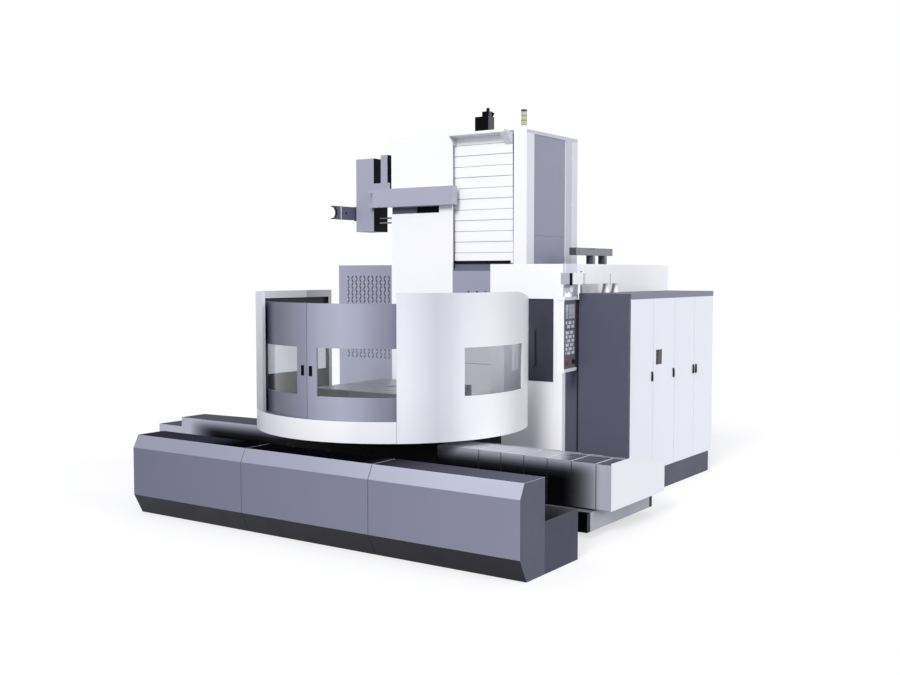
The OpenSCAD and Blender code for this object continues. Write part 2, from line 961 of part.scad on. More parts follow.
// Uppermost and lowest panels, which stay with the column
module fixed_slat_covers() {
  z0 = panel_z(upper_panels);
  color(white) {
    slat_panel(z0, panel_h, 0, z0 + panel_h / 2);
    slat_panel(foot_top, low_slat_h - column_foot_h, 2, foot_top + slat_h);
    block(-slat_half, slat_half, slat_front + 2 * slat_step, column_y - v_rail_t,
      foot_top, foot_top + hanger_h);
    block(-slat_half, slat_half, slat_front, slat_pack + 2,
      column_h - canopy_lip - hanger_h / 2, column_h - canopy_lip);
  }
}

module slat_cover(i) {
  color(white)
    slat_panel(panel_z(i), panel_h + slat_lap, upper_panels - i, panel_z(i) + panel_h / 2);
}

module lower_slat_cover() {
  z0 = base_low + (head_low - low_slat_h - base_low) * low_slat_ratio;
  color(white) slat_panel(z0, low_slat_h, 1, z0 + low_slat_h - slat_h);
}

// The slat panels that the headstock carries, above and below it
module headstock_slat_covers() {
  color(white) {
    slat_panel(panel_z(0), panel_h + slat_lap, upper_panels, panel_z(0) + panel_h / 2);
    slat_panel(head_low - low_slat_h, low_slat_h, 0, head_low - 2 * slat_h);
    block(-head_w / 2, head_w / 2, slat_front, head_back, head_low - hanger_h, head_low);
  }
}

// ---- Headstock ----

module headstock() {
  color(slate) difference() {
    union() {
      along_x(-head_w / 2, head_w / 2) polygon([
        [head_front, head_low], [head_front, head_top], [slat_pack, head_slat_low],
        [head_back, head_slat_low], [head_back, head_low]]);
      block(-slat_half, slat_half, slat_pack, head_back, head_low, head_slat_low + backing_h);
      block(-ram_half, ram_half, head_back - weld, ram_rear, ram_low, ram_high);
      y_bar(nose_r, 0, spindle_z, head_front - nose_l, head_front + weld);
    }
    y_bar(spindle_r + fit, 0, spindle_z, head_front - nose_l - 1, ram_rear + 1);
    for (x = [-163, -44, 75])
      y_bar(nozzle_r, x, nozzle_z, head_front - 1, head_front + 40);
  }
}

// Milling spindle: a hollow shaft with a drilled flange
module spindle() {
  y0 = spindle_front - flange_t;
  color(steel) difference() {
    union() {
      y_bar(spindle_r, 0, spindle_z, spindle_front - weld, ram_rear - 40);
      y_bar(flange_r, 0, spindle_z, y0, spindle_front);
    }
    y_bar(bar_r + fit, 0, spindle_z, y0 - 1, ram_rear);
    for (a = [0 : 60 : 300])
      y_bar(flange_hole_r, flange_pcd / 2 * cos(a), spindle_z + flange_pcd / 2 * sin(a),
        y0 - 1, y0 + flange_hole_depth);
  }
}

// Boring bar with a taper for the tool and a clearance hole for the drawbar
module boring_bar() {
  y0 = spindle_front - flange_t - bar_out;
  color(steel) difference() {
    y_bar(bar_r, 0, spindle_z, y0, y0 + bar_l);
    translate([0, y0 - 0.01, spindle_z]) rotate([-90, 0, 0])
      cylinder(r1 = taper_front_r, r2 = taper_back_r, h = taper_l);
    y_bar(draw_hole_r, 0, spindle_z, y0 + taper_l - 1, y0 + taper_l + 60);
  }
}

// ---- Roof fittings ----

module y_drive_motor() {
  z1 = column_h + motor_h;
  x1 = motor_x + motor_w;
  color(black) {
    block(motor_x, x1, motor_y, motor_y + motor_d, column_h, z1);
    block(motor_x + motor_w / 2, x1, motor_y + 10, motor_y + motor_d - 40,
      z1 - weld, z1 + motor_cap_h);
    translate([x1 - 30, motor_y + 40, z1 + motor_cap_h - weld]) cylinder(r = 20, h = 40);
    translate([x1 - 20, motor_y + motor_d - 35, z1 - weld]) rotate([0, 30, 0])
      cylinder(r = 18, h = 55);
  }
}

module beacon_base() {
  color(white) translate([beacon_x, beacon_y, column_h]) {
    cylinder(r = beacon_r - 4, h = 12);
    cylinder(r = beacon_r - 12, h = beacon_base_h);
    translate([0, 0, beacon_base_h - 8]) cylinder(r = beacon_r, h = 8);
  }
}

// Stack of beacon lenses with their rings and the cap
module beacon_lens() {
  color("#9CB46A") translate([beacon_x, beacon_y, column_h + beacon_base_h]) {
    cylinder(r = beacon_r, h = beacon_lens_h);
    for (i = [1 : beacon_parts - 1])
      translate([0, 0, i * beacon_lens_h / beacon_parts]) cylinder(r = beacon_r + 1.5, h = 5);
    translate([0, 0, beacon_lens_h]) cylinder(r = beacon_r + 2, h = beacon_cap_h);
  }
}

// ---- Tool changer ----

module tool_tower() {
  y1 = tower_front + tower_d;
  color(white) difference() {
    union() {
      block(-tower_left, -tower_right, tower_front, y1, tower_low, column_h);
      block(-tower_right - weld, -tower_face_right, tower_front,
        tower_front + tower_face_t, tower_low, column_h);
    }
    block(-tower_left + tower_wall, -tower_right - tower_wall,
      tower_front + tower_wall, y1 - tower_wall,
      tower_low + tower_wall, column_h - tower_wall);
    block(-tower_left - 1, -tower_right - 20, tower_front - 1, tower_front + 40,
      slot_low, beam_low - 4);
    for (z = rod_z)
      translate([-tower_left - 1, rod_y, z]) rotate([0, 90, 0])
        cylinder(r = rod_r + fit, h = tower_wall + 2);
  }
}

// Beam on the tower's front, with the two claws that hold the changer housing
module changer_beam() {
  y1 = tower_front - slide_gap;
  color(grey) {
    block(-beam_left, -beam_right, beam_front, y1, beam_low, beam_low + beam_h);
    for (z = [beam_low, beam_low + beam_h - claw_h])
      block(-beam_left - claw_w, -beam_left + weld, beam_front + 12, tower_front,
        z, z + claw_h);
  }
}

// Tall housing with its lifting cylinder, the bracket between them and two guide rods
module changer_housing() {
  y0 = tower_front;
  x0 = housing_x - housing_w;
  color(grey) {
    block(x0, housing_x, y0, y0 + housing_d, housing_z, housing_z + housing_h);
    block(x0 - guide_t, x0 + weld, y0 + 40, y0 + 100,
      housing_z + 40, housing_z + housing_h - 40);
    block(cyl_x, cyl_x + cyl_w, y0, y0 + cyl_d, cyl_z, cyl_top);
    block(housing_x - weld, cyl_x + cyl_w + cyl_seat, y0, y0 + cyl_d - 10,
      beam_low + beam_h, cyl_z + weld);
    for (z = rod_z)
      translate([housing_x - weld, rod_y, z]) rotate([0, 90, 0])
        cylinder(r = rod_r, h = rod_l);
  }
}

// Gripper plate on its slide block, pointing to the front with its fork
module gripper_arm() {
  x1 = housing_x - housing_w - guide_t - slide_gap;
  y0 = gripper_rear - gripper_l;
  zc = gripper_z + gripper_h / 2;
  color(slate) difference() {
    union() {
      block(x1 - gripper_t, x1, y0, gripper_rear, gripper_z, gripper_z + gripper_h);
      block(x1 - slide_t, x1, gripper_rear - slide_l, gripper_rear,
        gripper_z - 8, gripper_z + gripper_h + 8);
    }
    for (c = [[finger_in, finger_r], [claw_hole_in, claw_hole_r]])
      translate([x1 - gripper_t - 1, y0 + c[0], zc]) rotate([0, 90, 0])
        cylinder(r = c[1], h = gripper_t + 2);
  }
}

// ---- Fences ----

// Outline of one slanted slot about its own middle
module slot_outline() {
  l = perf_slot_l / 2;
  w = perf_slot_w / 2;
  polygon([[-l, 0], [-l + w, -w], [l - w, -w], [l, 0], [l - w, w], [-l + w, w]]);
}

// Fence with a sheet of slanted slots over a plain back sheet, held by two posts
module perforated_guard() {
  x1 = -perf_right;
  sheet_t = perf_t - perf_back_t + weld;
  color(grey) {
    translate([0, perf_y + sheet_t, 0]) rotate([90, 0, 0]) linear_extrude(sheet_t)
      difference() {
        translate([-perf_left, 0]) square([perf_left - perf_right, fence_h]);
        for (i = [0 : perf_cols - 1], j = [0 : perf_rows - 1])
          translate([x1 - perf_side - i * perf_pitch_x, fence_h - perf_top - (j + 0.5) * perf_pitch_z])
            rotate((i + j) % 2 == 0 ? perf_slot_a : -perf_slot_a) slot_outline();
      }
    block(-perf_left, x1, perf_y + perf_t - perf_back_t, perf_y + perf_t, 0, fence_h);
    for (x = [-perf_left, x1 - perf_post])
      block(x, x + perf_post, perf_y + perf_t, perf_y + perf_t + perf_post, 0, fence_h);
  }
}

// Wall between machine and operator, cut out over the rear bed
module operator_wall() {
  y1 = wall_y + fence_t;
  color(white) difference() {
    block(wall_left, wall_right, wall_y, y1, 0, fence_h);
    block(hatch_left, hatch_left + hatch_w, wall_y - 1, y1 + 1, hatch_low, hatch_low + hatch_h);
    block(wall_left - 1, z_bed_w / 2 + slide_gap, wall_y - 1, y1 + 1, -1, z_rail_top + 20);
  }
}

// Fence along the machine's right side, with a gate opening behind the operator wall
module side_fence() {
  y1 = wall_y + fence_t;
  color(white) {
    block(wall_right, filler_x, wall_y, y1, 0, fence_h);
    block(wall_right, filler_x, y1 - weld, y1 + gate_w + weld, fence_h - gate_rail_h, fence_h);
    block(wall_right, filler_x, y1 + gate_w, fence_rear, 0, fence_h);
    block(filler_x - weld, cab_x - filler_gap, wall_y + 4, wall_y + 20, cab_h, fence_h);
  }
}

// Tinted hatch in the operator wall with its grab bar
module hatch() {
  x0 = hatch_left + hatch_gap;
  x1 = hatch_left + hatch_w - slide_gap;
  y0 = wall_y + fence_t - hatch_t;
  color(dark) {
    block(x0, x1, y0, wall_y + fence_t, hatch_low + hatch_gap,
      hatch_low + hatch_h - hatch_gap);
    translate([grip_x, y0 - grip_out, grip_low]) cylinder(r = grip_r, h = grip_h);
    for (z = [grip_low + 30, grip_low + grip_h - 30])
      y_bar(grip_r * 0.6, grip_x, z, y0 - grip_out, y0 + weld);
  }
}

// Hose bridge behind the column: a beam with two end boxes on two round posts
module service_bridge() {
  z0 = bridge_top - bridge_h;
  x0 = bridge_x - bridge_w / 2;
  x1 = bridge_x + bridge_w / 2;
  color(slate) {
    block(x0, x1, bridge_y[0], bridge_y[1], z0, bridge_top - 14);
    block(x0, x1, bridge_y[0], bridge_y[0] + bridge_box_l[0], z0, bridge_top);
    block(x0, x1, bridge_y[1] - bridge_box_l[1], bridge_y[1], z0, bridge_top);
    for (y = bridge_post_y)
      translate([bridge_x, y, 0]) cylinder(r = bridge_post_r, h = z0 + weld);
  }
}

// ---- Electrical cabinet ----

// Case with its plinth, cap, inner mounting plate and the filler sheet beside it
module cabinet() {
  xd = cab_x1 - cab_door_t - slide_gap;
  y0 = wall_y + cab_wall;
  y1 = cab_y1 - cab_wall;
  color(slate) {
    difference() {
      block(cab_x, xd, wall_y, cab_y1, plinth_h, cab_h + weld);
      block(cab_x + cab_wall, xd + 1, y0, y1, plinth_h + cab_wall, cab_h - cab_wall);
    }
    block(cab_x + 20, cab_x1, wall_y + 20, cab_y1 - plinth_rear_in, 0, plinth_h + weld);
    block(cab_x, cab_x1, wall_y, cab_y1, cab_h, cab_top);
    block(cab_x + plate_x, cab_x + plate_x + plate_t, y0 - weld, y1 + weld,
      plinth_h + plate_margin, cab_h - plate_margin);
    block(filler_x, cab_x + weld, wall_y + filler_gap - 4, wall_y + filler_gap + 2,
      0, cab_h - 6);
  }
}

// Door i of the cabinet; its latch is at the rear or the front edge
module cabinet_door(i, latch_rear, port) {
  y0 = wall_y + i * cab_door_w + cab_gap / 2;
  y1 = wall_y + (i + 1) * cab_door_w - cab_gap / 2;
  hy = latch_rear ? y1 - latch_w - 22 : y0 + 22;
  color(white) difference() {
    union() {
      block(cab_x1 - cab_door_t, cab_x1, y0, y1, plinth_h + weld + 1, cab_h - 1);
      block(cab_x1 - weld, cab_x1 + latch_out, hy, hy + latch_w, latch_z, latch_z + latch_h);
    }
    if (port)
      block(cab_x1 - cab_door_t * 0.6, cab_x1 + 1, y0 + port_y[0], y0 + port_y[1],
        port_z[0], port_z[1]);
  }
}

// ---- Pendant and boom ----

// Box arm on the cabinet's roof, with its joint box, swivel block and neck tube
module boom_arm() {
  color(white) {
    block(boom_x, boom_x + boom_w, joint_y[1] - 10, boom_end, boom_low, boom_low + boom_h);
    translate([boom_x + boom_w / 2, boom_end, boom_low])
      cylinder(r = boom_w / 2, h = boom_h);
    block(joint_x, boom_x + boom_w + 4, joint_y[0], joint_y[1],
      boom_low - 2, boom_low + boom_h - 4);
    block(swivel_x[0], swivel_x[1], swivel_y[0], swivel_y[1], swivel_low, boom_low + 40);
    for (y = boom_feet)
      translate([boom_x + boom_w / 2, y, cab_top])
        cylinder(r1 = 46, r2 = 26, h = boom_low - cab_top + weld);
    translate([neck_x, neck_y, pendant_top + 6])
      cylinder(r = neck_r, h = swivel_low - pendant_top - 6 + weld);
  }
}

// The pendant's own frame: its face looks along +X, its neck is at the origin
module at_pendant() {
  translate([neck_x, neck_y, 0]) rotate([0, 0, pendant_turn]) children();
}

// Control pendant with its screen recess, keys and the seats of its two controls
module pendant() {
  w = pendant_w / 2;
  x0 = face_x - pendant_d;
  key_y = -w + 55;
  color(slate) at_pendant() difference() {
    union() {
      block(x0, face_x, -w, w, pendant_low + cap_t - weld, pendant_top - cap_t + weld);
      for (z = [pendant_low, pendant_top - cap_t])
        block(x0, face_x + cap_out, -w - cap_out, w + cap_out, z, z + cap_t);
      translate([0, 0, pendant_top - weld]) cylinder(r = collar_r, h = collar_h + weld);
      for (i = [0 : key_cols - 1], j = [0 : key_rows - 1])
        translate([face_x - weld, key_y + i * key_pitch, key_z + j * key_pitch])
          cube([weld + 4, key_w, key_w]);
    }
    block(face_x - 6, face_x + 1, -screen_w / 2, screen_w / 2, screen_z, screen_z + screen_h);
    translate([0, 0, pendant_top - 2]) cylinder(r = neck_r + fit, h = collar_h + 4);
    for (y = [stop_y, knob_y])
      translate([face_x - stem_hole, y, control_z]) rotate([0, 90, 0])
        cylinder(r = stem_r + fit, h = stem_hole + 1);
  }
}

// A control on the pendant's face, lying along the face's normal
module at_control(y) {
  at_pendant() translate([face_x, y, control_z]) rotate([0, 90, 0]) children();
}

module e_stop_button() {
  color("#B02020") at_control(stop_y) {
    translate([0, 0, 6]) cylinder(r = 20, h = 16);
    translate([0, 0, -stem_l]) cylinder(r = stem_r, h = stem_l + 7);
  }
}

module override_knob() {
  color(dark) at_control(knob_y) {
    difference() {
      translate([0, 0, slide_gap]) cylinder(r = 22, h = 22);
      translate([-2, -23, 16]) cube([4, 12, 10]);
    }
    translate([0, 0, -stem_l]) cylinder(r = stem_r, h = stem_l + 2);
  }
}

guard_panel(0);  // guard_panel_left
guard_panel(1);  // guard_panel_middle
guard_panel(2);  // guard_panel_right
chip_trough();
x_bed();
levelling_feet();
saddle();
saddle_covers();
x_cover(1);  // x_cover_1
x_cover(2);  // x_cover_2
x_cover(3);  // x_cover_3
x_cover(4);  // x_cover_4
x_cover(5);  // x_cover_5
x_cover_right_end();
x_cover_left_end();
rotary_table();
enclosure_base();
side_frame();
right_shell();
fixed_windows();
left_door();
right_door();
left_door_pane();
right_door_pane();
z_bed();
column();
column_cladding();
column_side_panels();
roof_and_canopy();
fixed_slat_covers();
slat_cover(1);  // slat_cover_1
slat_cover(2);  // slat_cover_2
slat_cover(3);  // slat_cover_3
slat_cover(4);  // slat_cover_4
lower_slat_cover();
headstock_slat_covers();
headstock();
spindle();
boring_bar();
y_drive_motor();
beacon_base();
beacon_lens();
tool_tower();
changer_beam();
changer_housing();
gripper_arm();
perforated_guard();
operator_wall();
side_fence();
hatch();
boom_arm();
pendant();
e_stop_button();
override_knob();
service_bridge();
cabinet();
cabinet_door(0, true, false);  // cabinet_door_1
cabinet_door(1, true, true);  // cabinet_door_2
cabinet_door(2, true, false);  // cabinet_door_3
cabinet_door(3, false, false);  // cabinet_door_4
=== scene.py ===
"""Finishes and fittings of a table-type horizontal boring mill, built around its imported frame."""

import json
import math
from types import SimpleNamespace

import bmesh
import bpy
import numpy as np
from mathutils import Matrix, Vector

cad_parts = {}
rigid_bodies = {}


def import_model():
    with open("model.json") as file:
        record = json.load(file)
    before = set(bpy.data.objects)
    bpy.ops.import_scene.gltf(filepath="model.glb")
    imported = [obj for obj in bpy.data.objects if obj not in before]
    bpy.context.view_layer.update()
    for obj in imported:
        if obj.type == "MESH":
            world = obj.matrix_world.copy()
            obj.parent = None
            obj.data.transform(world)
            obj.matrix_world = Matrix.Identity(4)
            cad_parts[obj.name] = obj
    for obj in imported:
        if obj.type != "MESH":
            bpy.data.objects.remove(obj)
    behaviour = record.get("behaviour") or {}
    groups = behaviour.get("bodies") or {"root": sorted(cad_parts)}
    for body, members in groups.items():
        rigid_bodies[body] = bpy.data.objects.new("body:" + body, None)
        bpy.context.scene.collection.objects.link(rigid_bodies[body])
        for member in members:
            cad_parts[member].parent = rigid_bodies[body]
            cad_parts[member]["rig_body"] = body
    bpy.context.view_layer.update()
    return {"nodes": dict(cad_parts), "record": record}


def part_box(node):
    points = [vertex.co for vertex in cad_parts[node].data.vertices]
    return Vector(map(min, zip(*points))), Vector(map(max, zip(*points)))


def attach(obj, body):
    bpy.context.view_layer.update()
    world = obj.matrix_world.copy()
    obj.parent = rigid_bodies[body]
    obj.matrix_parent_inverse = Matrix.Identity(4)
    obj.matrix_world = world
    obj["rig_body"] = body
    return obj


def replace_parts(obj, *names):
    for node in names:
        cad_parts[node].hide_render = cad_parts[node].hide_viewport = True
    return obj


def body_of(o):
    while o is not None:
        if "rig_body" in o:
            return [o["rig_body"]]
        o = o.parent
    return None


bl_info = {
    "name": "Boring Mill",
    "version": (1, 0, 0),
    "blender": (4, 5, 0),
    "location": "View3D > Sidebar > Boring Mill",
    "description": "Dresses the frame of a boring mill with its finishes and fittings",
    "category": "Object",
}

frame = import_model()
RECORD = frame["record"]
SLOT_OF = {part["node"]: part["material_slot"] for part in RECORD["subparts"]}
MM = 0.001
UP, FRONT, REAR = Vector((0, 0, 1)), Vector((0, -1, 0)), Vector((0, 1, 0))
RIGHT, LEFT = Vector((1, 0, 0)), Vector((-1, 0, 0))
SIDES = {"front": (1, -1), "back": (1, 1), "right": (0, 1), "left": (0, -1), "top": (2, 1)}


# ---- Colours and nodes ----

def linear(code):
    """An sRGB hex colour as linear RGBA."""
    parts = [int(code[i:i + 2], 16) / 255 for i in (1, 3, 5)]
    return tuple(p / 12.92 if p <= 0.04045 else ((p + 0.055) / 1.055) ** 2.4 for p in parts) + (1.0,)


def put(tree, socket, value):
    """Gives a socket another node's output, a hex colour or a plain value, or one that takes
    several outputs all of them."""
    if isinstance(value, bpy.types.NodeSocket):
        tree.links.new(value, socket)
    elif socket.is_multi_input:
        for each in value:
            tree.links.new(each, socket)
    else:
        socket.default_value = linear(value) if isinstance(value, str) and value[0] == "#" else value


def node(tree, kind, sockets=None, **settings):
    """Adds a node with its settings and its sockets' values."""
    made = tree.nodes.new(kind)
    for key, value in settings.items():
        setattr(made, key, value)
    for key, value in (sockets or {}).items():
        put(tree, made.inputs[key], value)
    return made


def new_surface(name, **values):
    """A material under work: its tree and shader, and the coordinates that its patterns read,
    which are the place on the object and the way that each face looks, whole and by axis."""
    material = bpy.data.materials.new(name)
    material.use_nodes = True
    tree = material.node_tree
    tree.nodes.clear()
    shader = node(tree, "ShaderNodeBsdfPrincipled")
    node(tree, "ShaderNodeOutputMaterial", {"Surface": shader.outputs[0]})
    found = node(tree, "ShaderNodeTexCoord").outputs
    x, y, z = node(tree, "ShaderNodeSeparateXYZ", {0: found["Object"]}).outputs
    looks = node(tree, "ShaderNodeSeparateXYZ", {0: found["Normal"]}).outputs
    s = SimpleNamespace(material=material, tree=tree, shader=shader, place=found["Object"], x=x, y=y, z=z,
                        normal=found["Normal"], looks=looks)
    finish(s, **values)
    return s


def finish(s, relief=None, **values):
    """Sets the shader's sockets to outputs, colours or numbers, and gives it a relief: a height
    and its depth in millimetres."""
    if relief:
        height, depth_mm = relief
        values["normal"] = node(s.tree, "ShaderNodeBump", {
            "Height": height, "Distance": depth_mm * MM, "Strength": 1.0}).outputs[0]
    for key, value in values.items():
        put(s.tree, s.shader.inputs[key.replace("_", " ").title().replace("Ior", "IOR")], value)
    return s.material


def mottle(s, size_mm, detail=2.0, stretch=(1, 1, 1)):
    """Cloudy patches about size_mm across; stretch lengthens them along an axis."""
    scaled = node(s.tree, "ShaderNodeMapping", {"Vector": s.place, "Scale": [1 / k for k in stretch]})
    return node(s.tree, "ShaderNodeTexNoise", {
        "Vector": scaled.outputs[0], "Scale": 1 / (size_mm * MM), "Detail": detail}).outputs["Fac"]


def layered(s, base, *layers):
    """A base tone under others, each a share and the tone laid over where the share is 1."""
    for share, tone in layers:
        base = node(s.tree, "ShaderNodeMix", {0: share, 6: base, 7: tone}, data_type="RGBA").outputs[2]
    return base


def ramp(s, value, *stops):
    """What runs through stops, each a value and the colour or number that belongs to it."""
    (low, shown), *others = stops
    for high, there in others:
        way = {"Value": value, "From Min": low, "From Max": high}
        if not isinstance(there, str):
            way.update({"To Min": shown, "To Max": there})
        part = node(s.tree, "ShaderNodeMapRange", way).outputs[0]
        shown = layered(s, shown, (part, there)) if isinstance(there, str) else part
        low = high
    return shown


def above(s, value, level, soft=1 * MM):
    """1 where a value is over a level, rising over the soft width under it."""
    return ramp(s, value, (level - soft, 0.0), (level, 1.0))


def below(s, value, level, soft=1 * MM):
    """1 where a value is under a level, falling over the soft width over it."""
    return ramp(s, value, (level, 1.0), (level + soft, 0.0))


def times(s, *shares):
    """The product of several shares."""
    product = shares[0]
    for share in shares[1:]:
        product = node(s.tree, "ShaderNodeMath", {0: product, 1: share}, operation="MULTIPLY").outputs[0]
    return product


def looking(s, side, start=0.8, end=0.95):
    """1 on faces that look to a side."""
    axis, sign = SIDES[side]
    return ramp(s, s.looks[axis], *(((start, 0.0), (end, 1.0)) if sign > 0 else ((-end, 1.0), (-start, 0.0))))


def by_side(s, base, **sides):
    """Gives the faces that look to a side their own tone, which paints light and shade by the way they face.
    """
    return layered(s, base, *[(looking(s, side), tone) for side, tone in sides.items()])


def turn_of(s):
    """The angle in degrees about the table's axis, seen from above."""
    angle = node(s.tree, "ShaderNodeMath", {0: s.y, 1: s.x}, operation="ARCTAN2").outputs[0]
    return node(s.tree, "ShaderNodeMath", {0: angle, 1: 180 / math.pi}, operation="MULTIPLY").outputs[0]


def two_tone(name, low, high, grain, depth_mm, **values):
    """A material whose colour wanders between two tones in a grain: its size in millimetres,
    its detail and its stretch. The grain has relief where its depth isn't 0."""
    s = new_surface(name, **values)
    pattern = mottle(s, *grain)
    return finish(s, depth_mm and (pattern, depth_mm), base_color=layered(s, low, (pattern, high)))


def paint(s, colour, tone=0.97, roughness=0.42):
    """Finishes a coat: a faint unevenness of tone and gloss, and an orange peel that is drawn
    coarser than its real 2 mm so that it shows."""
    cloud = ramp(s, mottle(s, 900, 3.0), (0.35, tone), (0.65, 1.0))
    grey = node(s.tree, "ShaderNodeCombineColor", {0: cloud, 1: cloud, 2: cloud}).outputs[0]
    mixed = node(s.tree, "ShaderNodeMix", {0: 1.0, 6: colour, 7: grey}, data_type="RGBA",
                 blend_type="MULTIPLY").outputs[2]
    gloss = ramp(s, mottle(s, 240, 4.0), (0.3, roughness - 0.05), (0.7, roughness + 0.06))
    return finish(s, (mottle(s, 14, 1.0), 0.04), base_color=mixed, roughness=gloss)


def powder_coat(name, colour, roughness=0.42, tone=0.97, gloss=0.5, **sides):
    """Satin powder coat on sheet steel: an even colour with a soft gloss. The colour is a hex
    code or one of the colours in the panel; sides name the faces that get another tone, as painted light and
    shade."""
    s = new_surface(name, specular_ior_level=gloss)
    if colour[0] != "#":
        colour = tuple(getattr(bpy.context.scene.mill_colours, colour))
    return paint(s, by_side(s, colour, **sides), tone, roughness)


# ---- Materials ----

def shell_enamel():
    """White powder coat on the rolled enclosure, with painted shading: its tone dips where the sheet turns
    away and toward its top edge, which lets the curve read; the faces that look up, such as the ledge under
    the doors, are painted dark as shade."""
    s = new_surface("rolled_shell_powder_coat")
    turn = turn_of(s)
    # Painted shading: the tone set by the angle round the table's axis.
    around = ramp(
        s, turn, (-126, "#C6C6D0"), (-120, "#CACAD3"), (-114, "#D7D7DF"), (-108, "#E0E0E8"),
        (-102, "#EDEDF3"), (-96, "#F4F4F8"), (-90, "#F8F8FB"), (-78, "#F9F9FC"), (-72, "#F6F6FA"),
        (-66, "#ECECF3"), (-54, "#E6E6EE"), (-48, "#E5E5ED"), (-42, "#DADAE3"), (-36, "#CBCBD5"),
        (-30, "#D5D5DE"), (-24, "#E7E8EF"), (-18, "#F2F2F8"), (-12, "#F8F8FC"), (24, "#F8F8FC"))
    # Painted shade toward the top edge, on the right part of the shell.
    shade = times(s, ramp(s, s.z, (1.3, 0.0), (2.1, 0.2)), above(s, turn, -50, 22))
    around = layered(s, around, (shade, "#9A9AA6"))
    return paint(s, by_side(s, around, top="#6F717D"), 0.985, 0.36)


def frame_enamel():
    """Pale grey powder coat on the jamb and the flat side; the inside of the sheet, below the
    top rail, is painted dark as shade."""
    s = new_surface("side_frame_powder_coat")
    points = corners("side_frame")
    rail, corner, rear = points[:, 2].max() - 76 * MM, points[:, 0].min(), points[:, 1].max()
    pan_radius = 1.37
    flat = node(s.tree, "ShaderNodeVectorMath", {0: s.place, 1: (1, 1, 0)}, operation="MULTIPLY").outputs[0]
    reach = node(s.tree, "ShaderNodeVectorMath", {0: flat}, operation="LENGTH").outputs["Value"]
    side = ramp(s, s.y, (-0.95, "#D9D9E2"), (-0.6, "#C6C6D0"), (-0.285, "#BEBEC7"), (-0.28, "#96959C"),
                (0.12, "#ACABB1"))
    post = ramp(s, s.z, (0.96, "#A2A2AC"), (1.6, "#B8B8C1"), (2.16, "#D4D4DE"))
    # Painted shade inside the sheet, below the top rail.
    inner = times(s, below(s, s.z, rail), below(s, reach, pan_radius), below(s, s.y, rear - 50 * MM),
                  above(s, s.looks[0], -0.8, 0.1))
    return paint(s, layered(s, side, (below(s, s.y, corner), post), (inner, "#24242B")), 0.98, 0.4)


def door_coat():
    """Grey metallic coat on the curved doors, with a painted reflection: its tone darkens toward the left
    jamb and, less, toward the shell, as brushed metal does round a bend; the faces that look up are painted a
    flat grey as shade."""
    s = new_surface("metallic_grey_door_coat")
    # Painted reflection: the tone set by the angle round the table's axis.
    colour = ramp(
        s, turn_of(s), (-123, "#4C4B5C"), (-117, "#47465A"), (-111.5, "#505163"), (-107, "#5C5D6F"),
        (-103, "#68697B"), (-96.4, "#7C7D8F"), (-91.5, "#84859A"), (-88.6, "#9091A5"), (-82, "#9D9EB0"),
        (-73.3, "#A6A7B9"), (-65, "#989AAD"), (-61, "#8C8DA0"), (-57, "#7F8092"), (-52, "#78798D"))
    return paint(s, by_side(s, colour, top="#70717F"), 0.985, 0.36)


def guard_enamel():
    """Powder coat on the folded splash guard, with light and shade painted by the way each face looks: a
    painted highlight on the upper slope, a grey front, painted shade on the faces that look right, on the
    kick slope and on the black back, and a dark painted shade on the top, black where the enclosure's shadow
    falls."""
    s = new_surface("guard_powder_coat", specular_ior_level=0.22)
    upward = s.looks[2]
    front = ramp(s, s.x, (-1.5, "#68697C"), (0.7, "#757688"), (2.9, "#818294"))
    slope = ramp(s, s.x, (-0.8, "#A1A2B3"), (0.7, "#AFB0C2"), (2.2, "#D2D3E4"))
    # The top is painted dark as shade, black in the middle as the enclosure's painted shadow.
    top_painted_shade = ramp(s, s.x, (-0.7, "#31303E"), (-0.3, "#08070C"), (1.3, "#08070C"), (1.9, "#4C4C5B"),
                 (2.9, "#666677"))
    colour = layered(s, front, (looking(s, "right"), "#565768"), (above(s, upward, 0.6, 0.3), slope),
                     (below(s, upward, -0.35, 0.15), "#1A1A23"), (above(s, upward, 0.97, 0.12), top_painted_shade),
                     (looking(s, "back", 0.3, 0.5), "#0B0B10"))
    finish(s, specular_ior_level=ramp(s, upward, (0.85, 0.22), (0.97, 0.0)))
    return paint(s, colour, 0.98, 0.5)


def trough_enamel():
    """Dark slate powder coat on the chip trough, mottled paler in patches; the faces that look right are
    painted a darker, bluer tone as shade.
    """
    s = new_surface("trough_powder_coat", specular_ior_level=0.1)
    inside = layered(s, "#48484E", (mottle(s, 160, 4.0), "#64656B"))
    return paint(s, by_side(s, inside, right="#48485A"), 0.97, 0.45)


def cast_bed_paint():
    """Grey machine paint over an iron casting: a slightly lumpy skin with a low sheen. Its front faces are
    painted near black and its tops darker, as painted shade.
    """
    s = new_surface("painted_iron_casting", roughness=0.55)
    cast = ramp(s, mottle(s, 400, 4.0), (0.3, "#A9AAB3"), (0.7, "#B5B7BF"))
    return finish(s, (mottle(s, 30, 3.0), 0.5), base_color=by_side(s, cast, front="#22222A", top="#7C7C88"))


def black_paint(name="black_machine_paint", clean="#08080B", dusty="#121217", roughness=0.5):
    """Flat black machine paint, with dust that lifts its tone in patches."""
    s = new_surface(name, roughness=roughness, specular_ior_level=0.12)
    colour = ramp(s, mottle(s, 300, 5.0), (0.45, clean), (0.8, dusty))
    return finish(s, (mottle(s, 10, 2.0), 0.06), base_color=colour)


def feet_paint():
    """The same paint on screws and marks, a little worn and dusty."""
    return black_paint("black_painted_feet", "#0A0A0E", "#1A1A20", 0.55)


